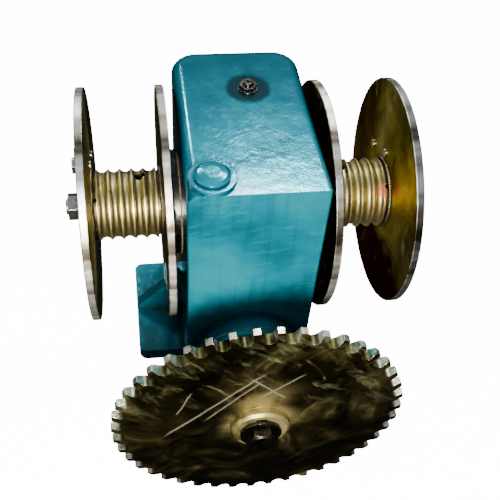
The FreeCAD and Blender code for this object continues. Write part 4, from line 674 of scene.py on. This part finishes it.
def weld_beads(material):
    """Beads where each rope barrel meets its two flanges."""
    for side in ("left", "right"):
        radius = half_size(side + "_rope_barrel", 2) - BEAD_SINK
        for place in ("inner", "outer"):
            low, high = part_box(f"{side}_{place}_flange")
            barrel_on_right = (side == "right") == (place == "inner")
            face = high[0] if barrel_on_right else low[0]
            weld_bead(f"{side}_{place}_weld", (face, 0.0, DRUM_HEIGHT), radius, material)


# ---- stage, light and camera -------------------------------------------------------------

CAMERA_PLACE = Vector((-0.0806, -0.4674, DRUM_HEIGHT + 0.4572))
CAMERA_AZIMUTH = math.radians(11.87)
CAMERA_ELEVATION = math.radians(51.57)
CAMERA_ROLL = 0.0959
CAMERA_LENS = 58.52
CAMERA_SENSOR = 36.0
CAMERA_SHIFT = (-0.0022, 0.1166)
CAMERA_NEAR = 0.01

# Name, place, point it aims at, size, power in watts, colour.
LIGHTS = [
    ("flash", (-0.12, -0.68, 0.47), (0, 0, 0.10), (0.14, 0.14), 15.0, (1.0, 0.98, 0.94)),
    ("window", (0.11, 0.28, 0.64), (0.01, -0.05, 0.23), (0.15, 0.08), 2.8, (0.88, 0.97, 1.0)),
    ("glint", (-0.22, 0.62, 0.70), (-0.03, 0.05, 0.23), (0.03, 0.05), 1.6, (0.80, 0.92, 1.0)),
    ("side", (-1.0, -0.1, 0.8), (0, 0, 0.1), (0.4, 0.5), 4.0, (1.0, 1.0, 1.0)),
]

SKY_BELOW = (0.020, 0.021, 0.022, 1)
SKY_ABOVE = (0.26, 0.33, 0.40, 1)
SKY_FADE = (0.42, 0.85)
SKY_WARM = (0.30, 0.29, 0.19, 1)
WARM_DIRECTION = (-0.34, 0.68, -0.65)
WARM_SPREAD = (0.03, 0.30)

FLOOR_DROP = 0.0005
FLOOR_SIZE = 80.0
FLOOR_GLOW = 14.0
BACKDROP_RADIUS = 9.0
BACKDROP_HEIGHT = 24.0
BACKDROP_SIDES = 96


def camera():
    """A camera above and in front, a little to the left and looking slightly right."""
    data = bpy.data.cameras.new("camera")
    data.lens = CAMERA_LENS
    data.sensor_width = CAMERA_SENSOR
    data.shift_x, data.shift_y = CAMERA_SHIFT
    data.clip_start = CAMERA_NEAR
    eye = bpy.data.objects.new("camera", data)
    level = math.cos(CAMERA_ELEVATION)
    east, north = math.sin(CAMERA_AZIMUTH), math.cos(CAMERA_AZIMUTH)
    ahead = Vector((east * level, north * level, -math.sin(CAMERA_ELEVATION)))
    right = Vector((north, -east, 0))
    up = right.cross(ahead)
    side = right * math.cos(CAMERA_ROLL) + up * math.sin(CAMERA_ROLL)
    top = side.cross(ahead)
    turn = Matrix((side, top, -ahead)).transposed()
    eye.matrix_world = Matrix.Translation(CAMERA_PLACE) @ turn.to_4x4()
    bpy.context.scene.collection.objects.link(eye)
    bpy.context.scene.camera = eye


def area_light(name, place, aim, size, power, colour):
    """A soft rectangular light that the camera doesn't see."""
    data = bpy.data.lights.new(name, "AREA")
    data.shape = "RECTANGLE"
    data.size, data.size_y = size
    data.energy = power
    data.color = colour
    lamp = bpy.data.objects.new(name, data)
    lamp.location = place
    lamp.rotation_euler = (Vector(aim) - Vector(place)).to_track_quat("-Z", "Y").to_euler()
    lamp.visible_camera = False
    bpy.context.scene.collection.objects.link(lamp)


def sky():
    """A sky that is pale overhead and dark below, with a warm patch low at the left back."""
    world = bpy.data.worlds.new("sky")
    world.use_nodes = True
    tree = world.node_tree
    background = tree.nodes["Background"]
    spread = tree.nodes.new("ShaderNodeTexCoord")
    split = tree.nodes.new("ShaderNodeSeparateXYZ")
    tree.links.new(spread.outputs["Generated"], split.inputs["Vector"])
    band = tree.nodes.new("ShaderNodeValToRGB")
    half = tree.nodes.new("ShaderNodeMath")
    half.operation = "MULTIPLY_ADD"
    half.inputs[1].default_value = 0.5
    half.inputs[2].default_value = 0.5
    tree.links.new(split.outputs["Z"], half.inputs[0])
    tree.links.new(half.outputs["Value"], band.inputs["Fac"])
    for stop, position, colour in zip(band.color_ramp.elements, SKY_FADE, (SKY_BELOW, SKY_ABOVE)):
        stop.position = position
        stop.color = colour
    near = tree.nodes.new("ShaderNodeVectorMath")
    near.operation = "DISTANCE"
    near.inputs[1].default_value = WARM_DIRECTION
    tree.links.new(spread.outputs["Generated"], near.inputs[0])
    glow = tree.nodes.new("ShaderNodeMapRange")
    glow.interpolation_type = "SMOOTHSTEP"
    glow.inputs["From Min"].default_value = WARM_SPREAD[0]
    glow.inputs["From Max"].default_value = WARM_SPREAD[1]
    glow.inputs["To Min"].default_value = 1.0
    glow.inputs["To Max"].default_value = 0.0
    tree.links.new(near.outputs["Value"], glow.inputs["Value"])
    blend = tree.nodes.new("ShaderNodeMix")
    blend.data_type = "RGBA"
    blend.inputs[MIX_SECOND].default_value = SKY_WARM
    tree.links.new(glow.outputs["Result"], blend.inputs[MIX_FACTOR])
    tree.links.new(band.outputs["Color"], blend.inputs[MIX_FIRST])
    tree.links.new(blend.outputs[MIX_RESULT], background.inputs["Color"])
    bpy.context.scene.world = world


def glowing_white(name):
    """An evenly lit pale surface."""
    s = Surface(name, Roughness=0.9, Specular_IOR_Level=0.1)
    s.colour(s.ramp(s.noise(3, 2), [(0.3, (0.86, 0.86, 0.86)), (0.7, (0.90, 0.90, 0.90))]))
    s.shader.inputs["Emission Color"].default_value = (1, 1, 1, 1)
    s.shader.inputs["Emission Strength"].default_value = FLOOR_GLOW
    return s.material


def floor():
    """A white floor just under the lowest point, inside a round white backdrop."""
    level = cad_box[0][2] - FLOOR_DROP
    bpy.ops.mesh.primitive_plane_add(size=FLOOR_SIZE, location=(0, 0, level))
    plane = bpy.context.object
    plane.name = "floor"
    bpy.ops.mesh.primitive_cylinder_add(
        vertices=BACKDROP_SIDES,
        radius=BACKDROP_RADIUS,
        depth=BACKDROP_HEIGHT,
        end_fill_type="NOTHING",
    )
    wall = bpy.context.object
    wall.name = "backdrop"
    for item in (plane, wall):
        item.data.materials.append(glowing_white("pale_" + item.name))
        item.visible_glossy = False
        item.visible_diffuse = False
    wall.visible_shadow = False
    wall.visible_transmission = False


def stage():
    """The floor, the sky and the lights."""
    floor()
    sky()
    for settings in LIGHTS:
        area_light(*settings)


materials = make_materials()
dress_nodes(materials)
weld_beads(materials["weld"])
stage()
camera()
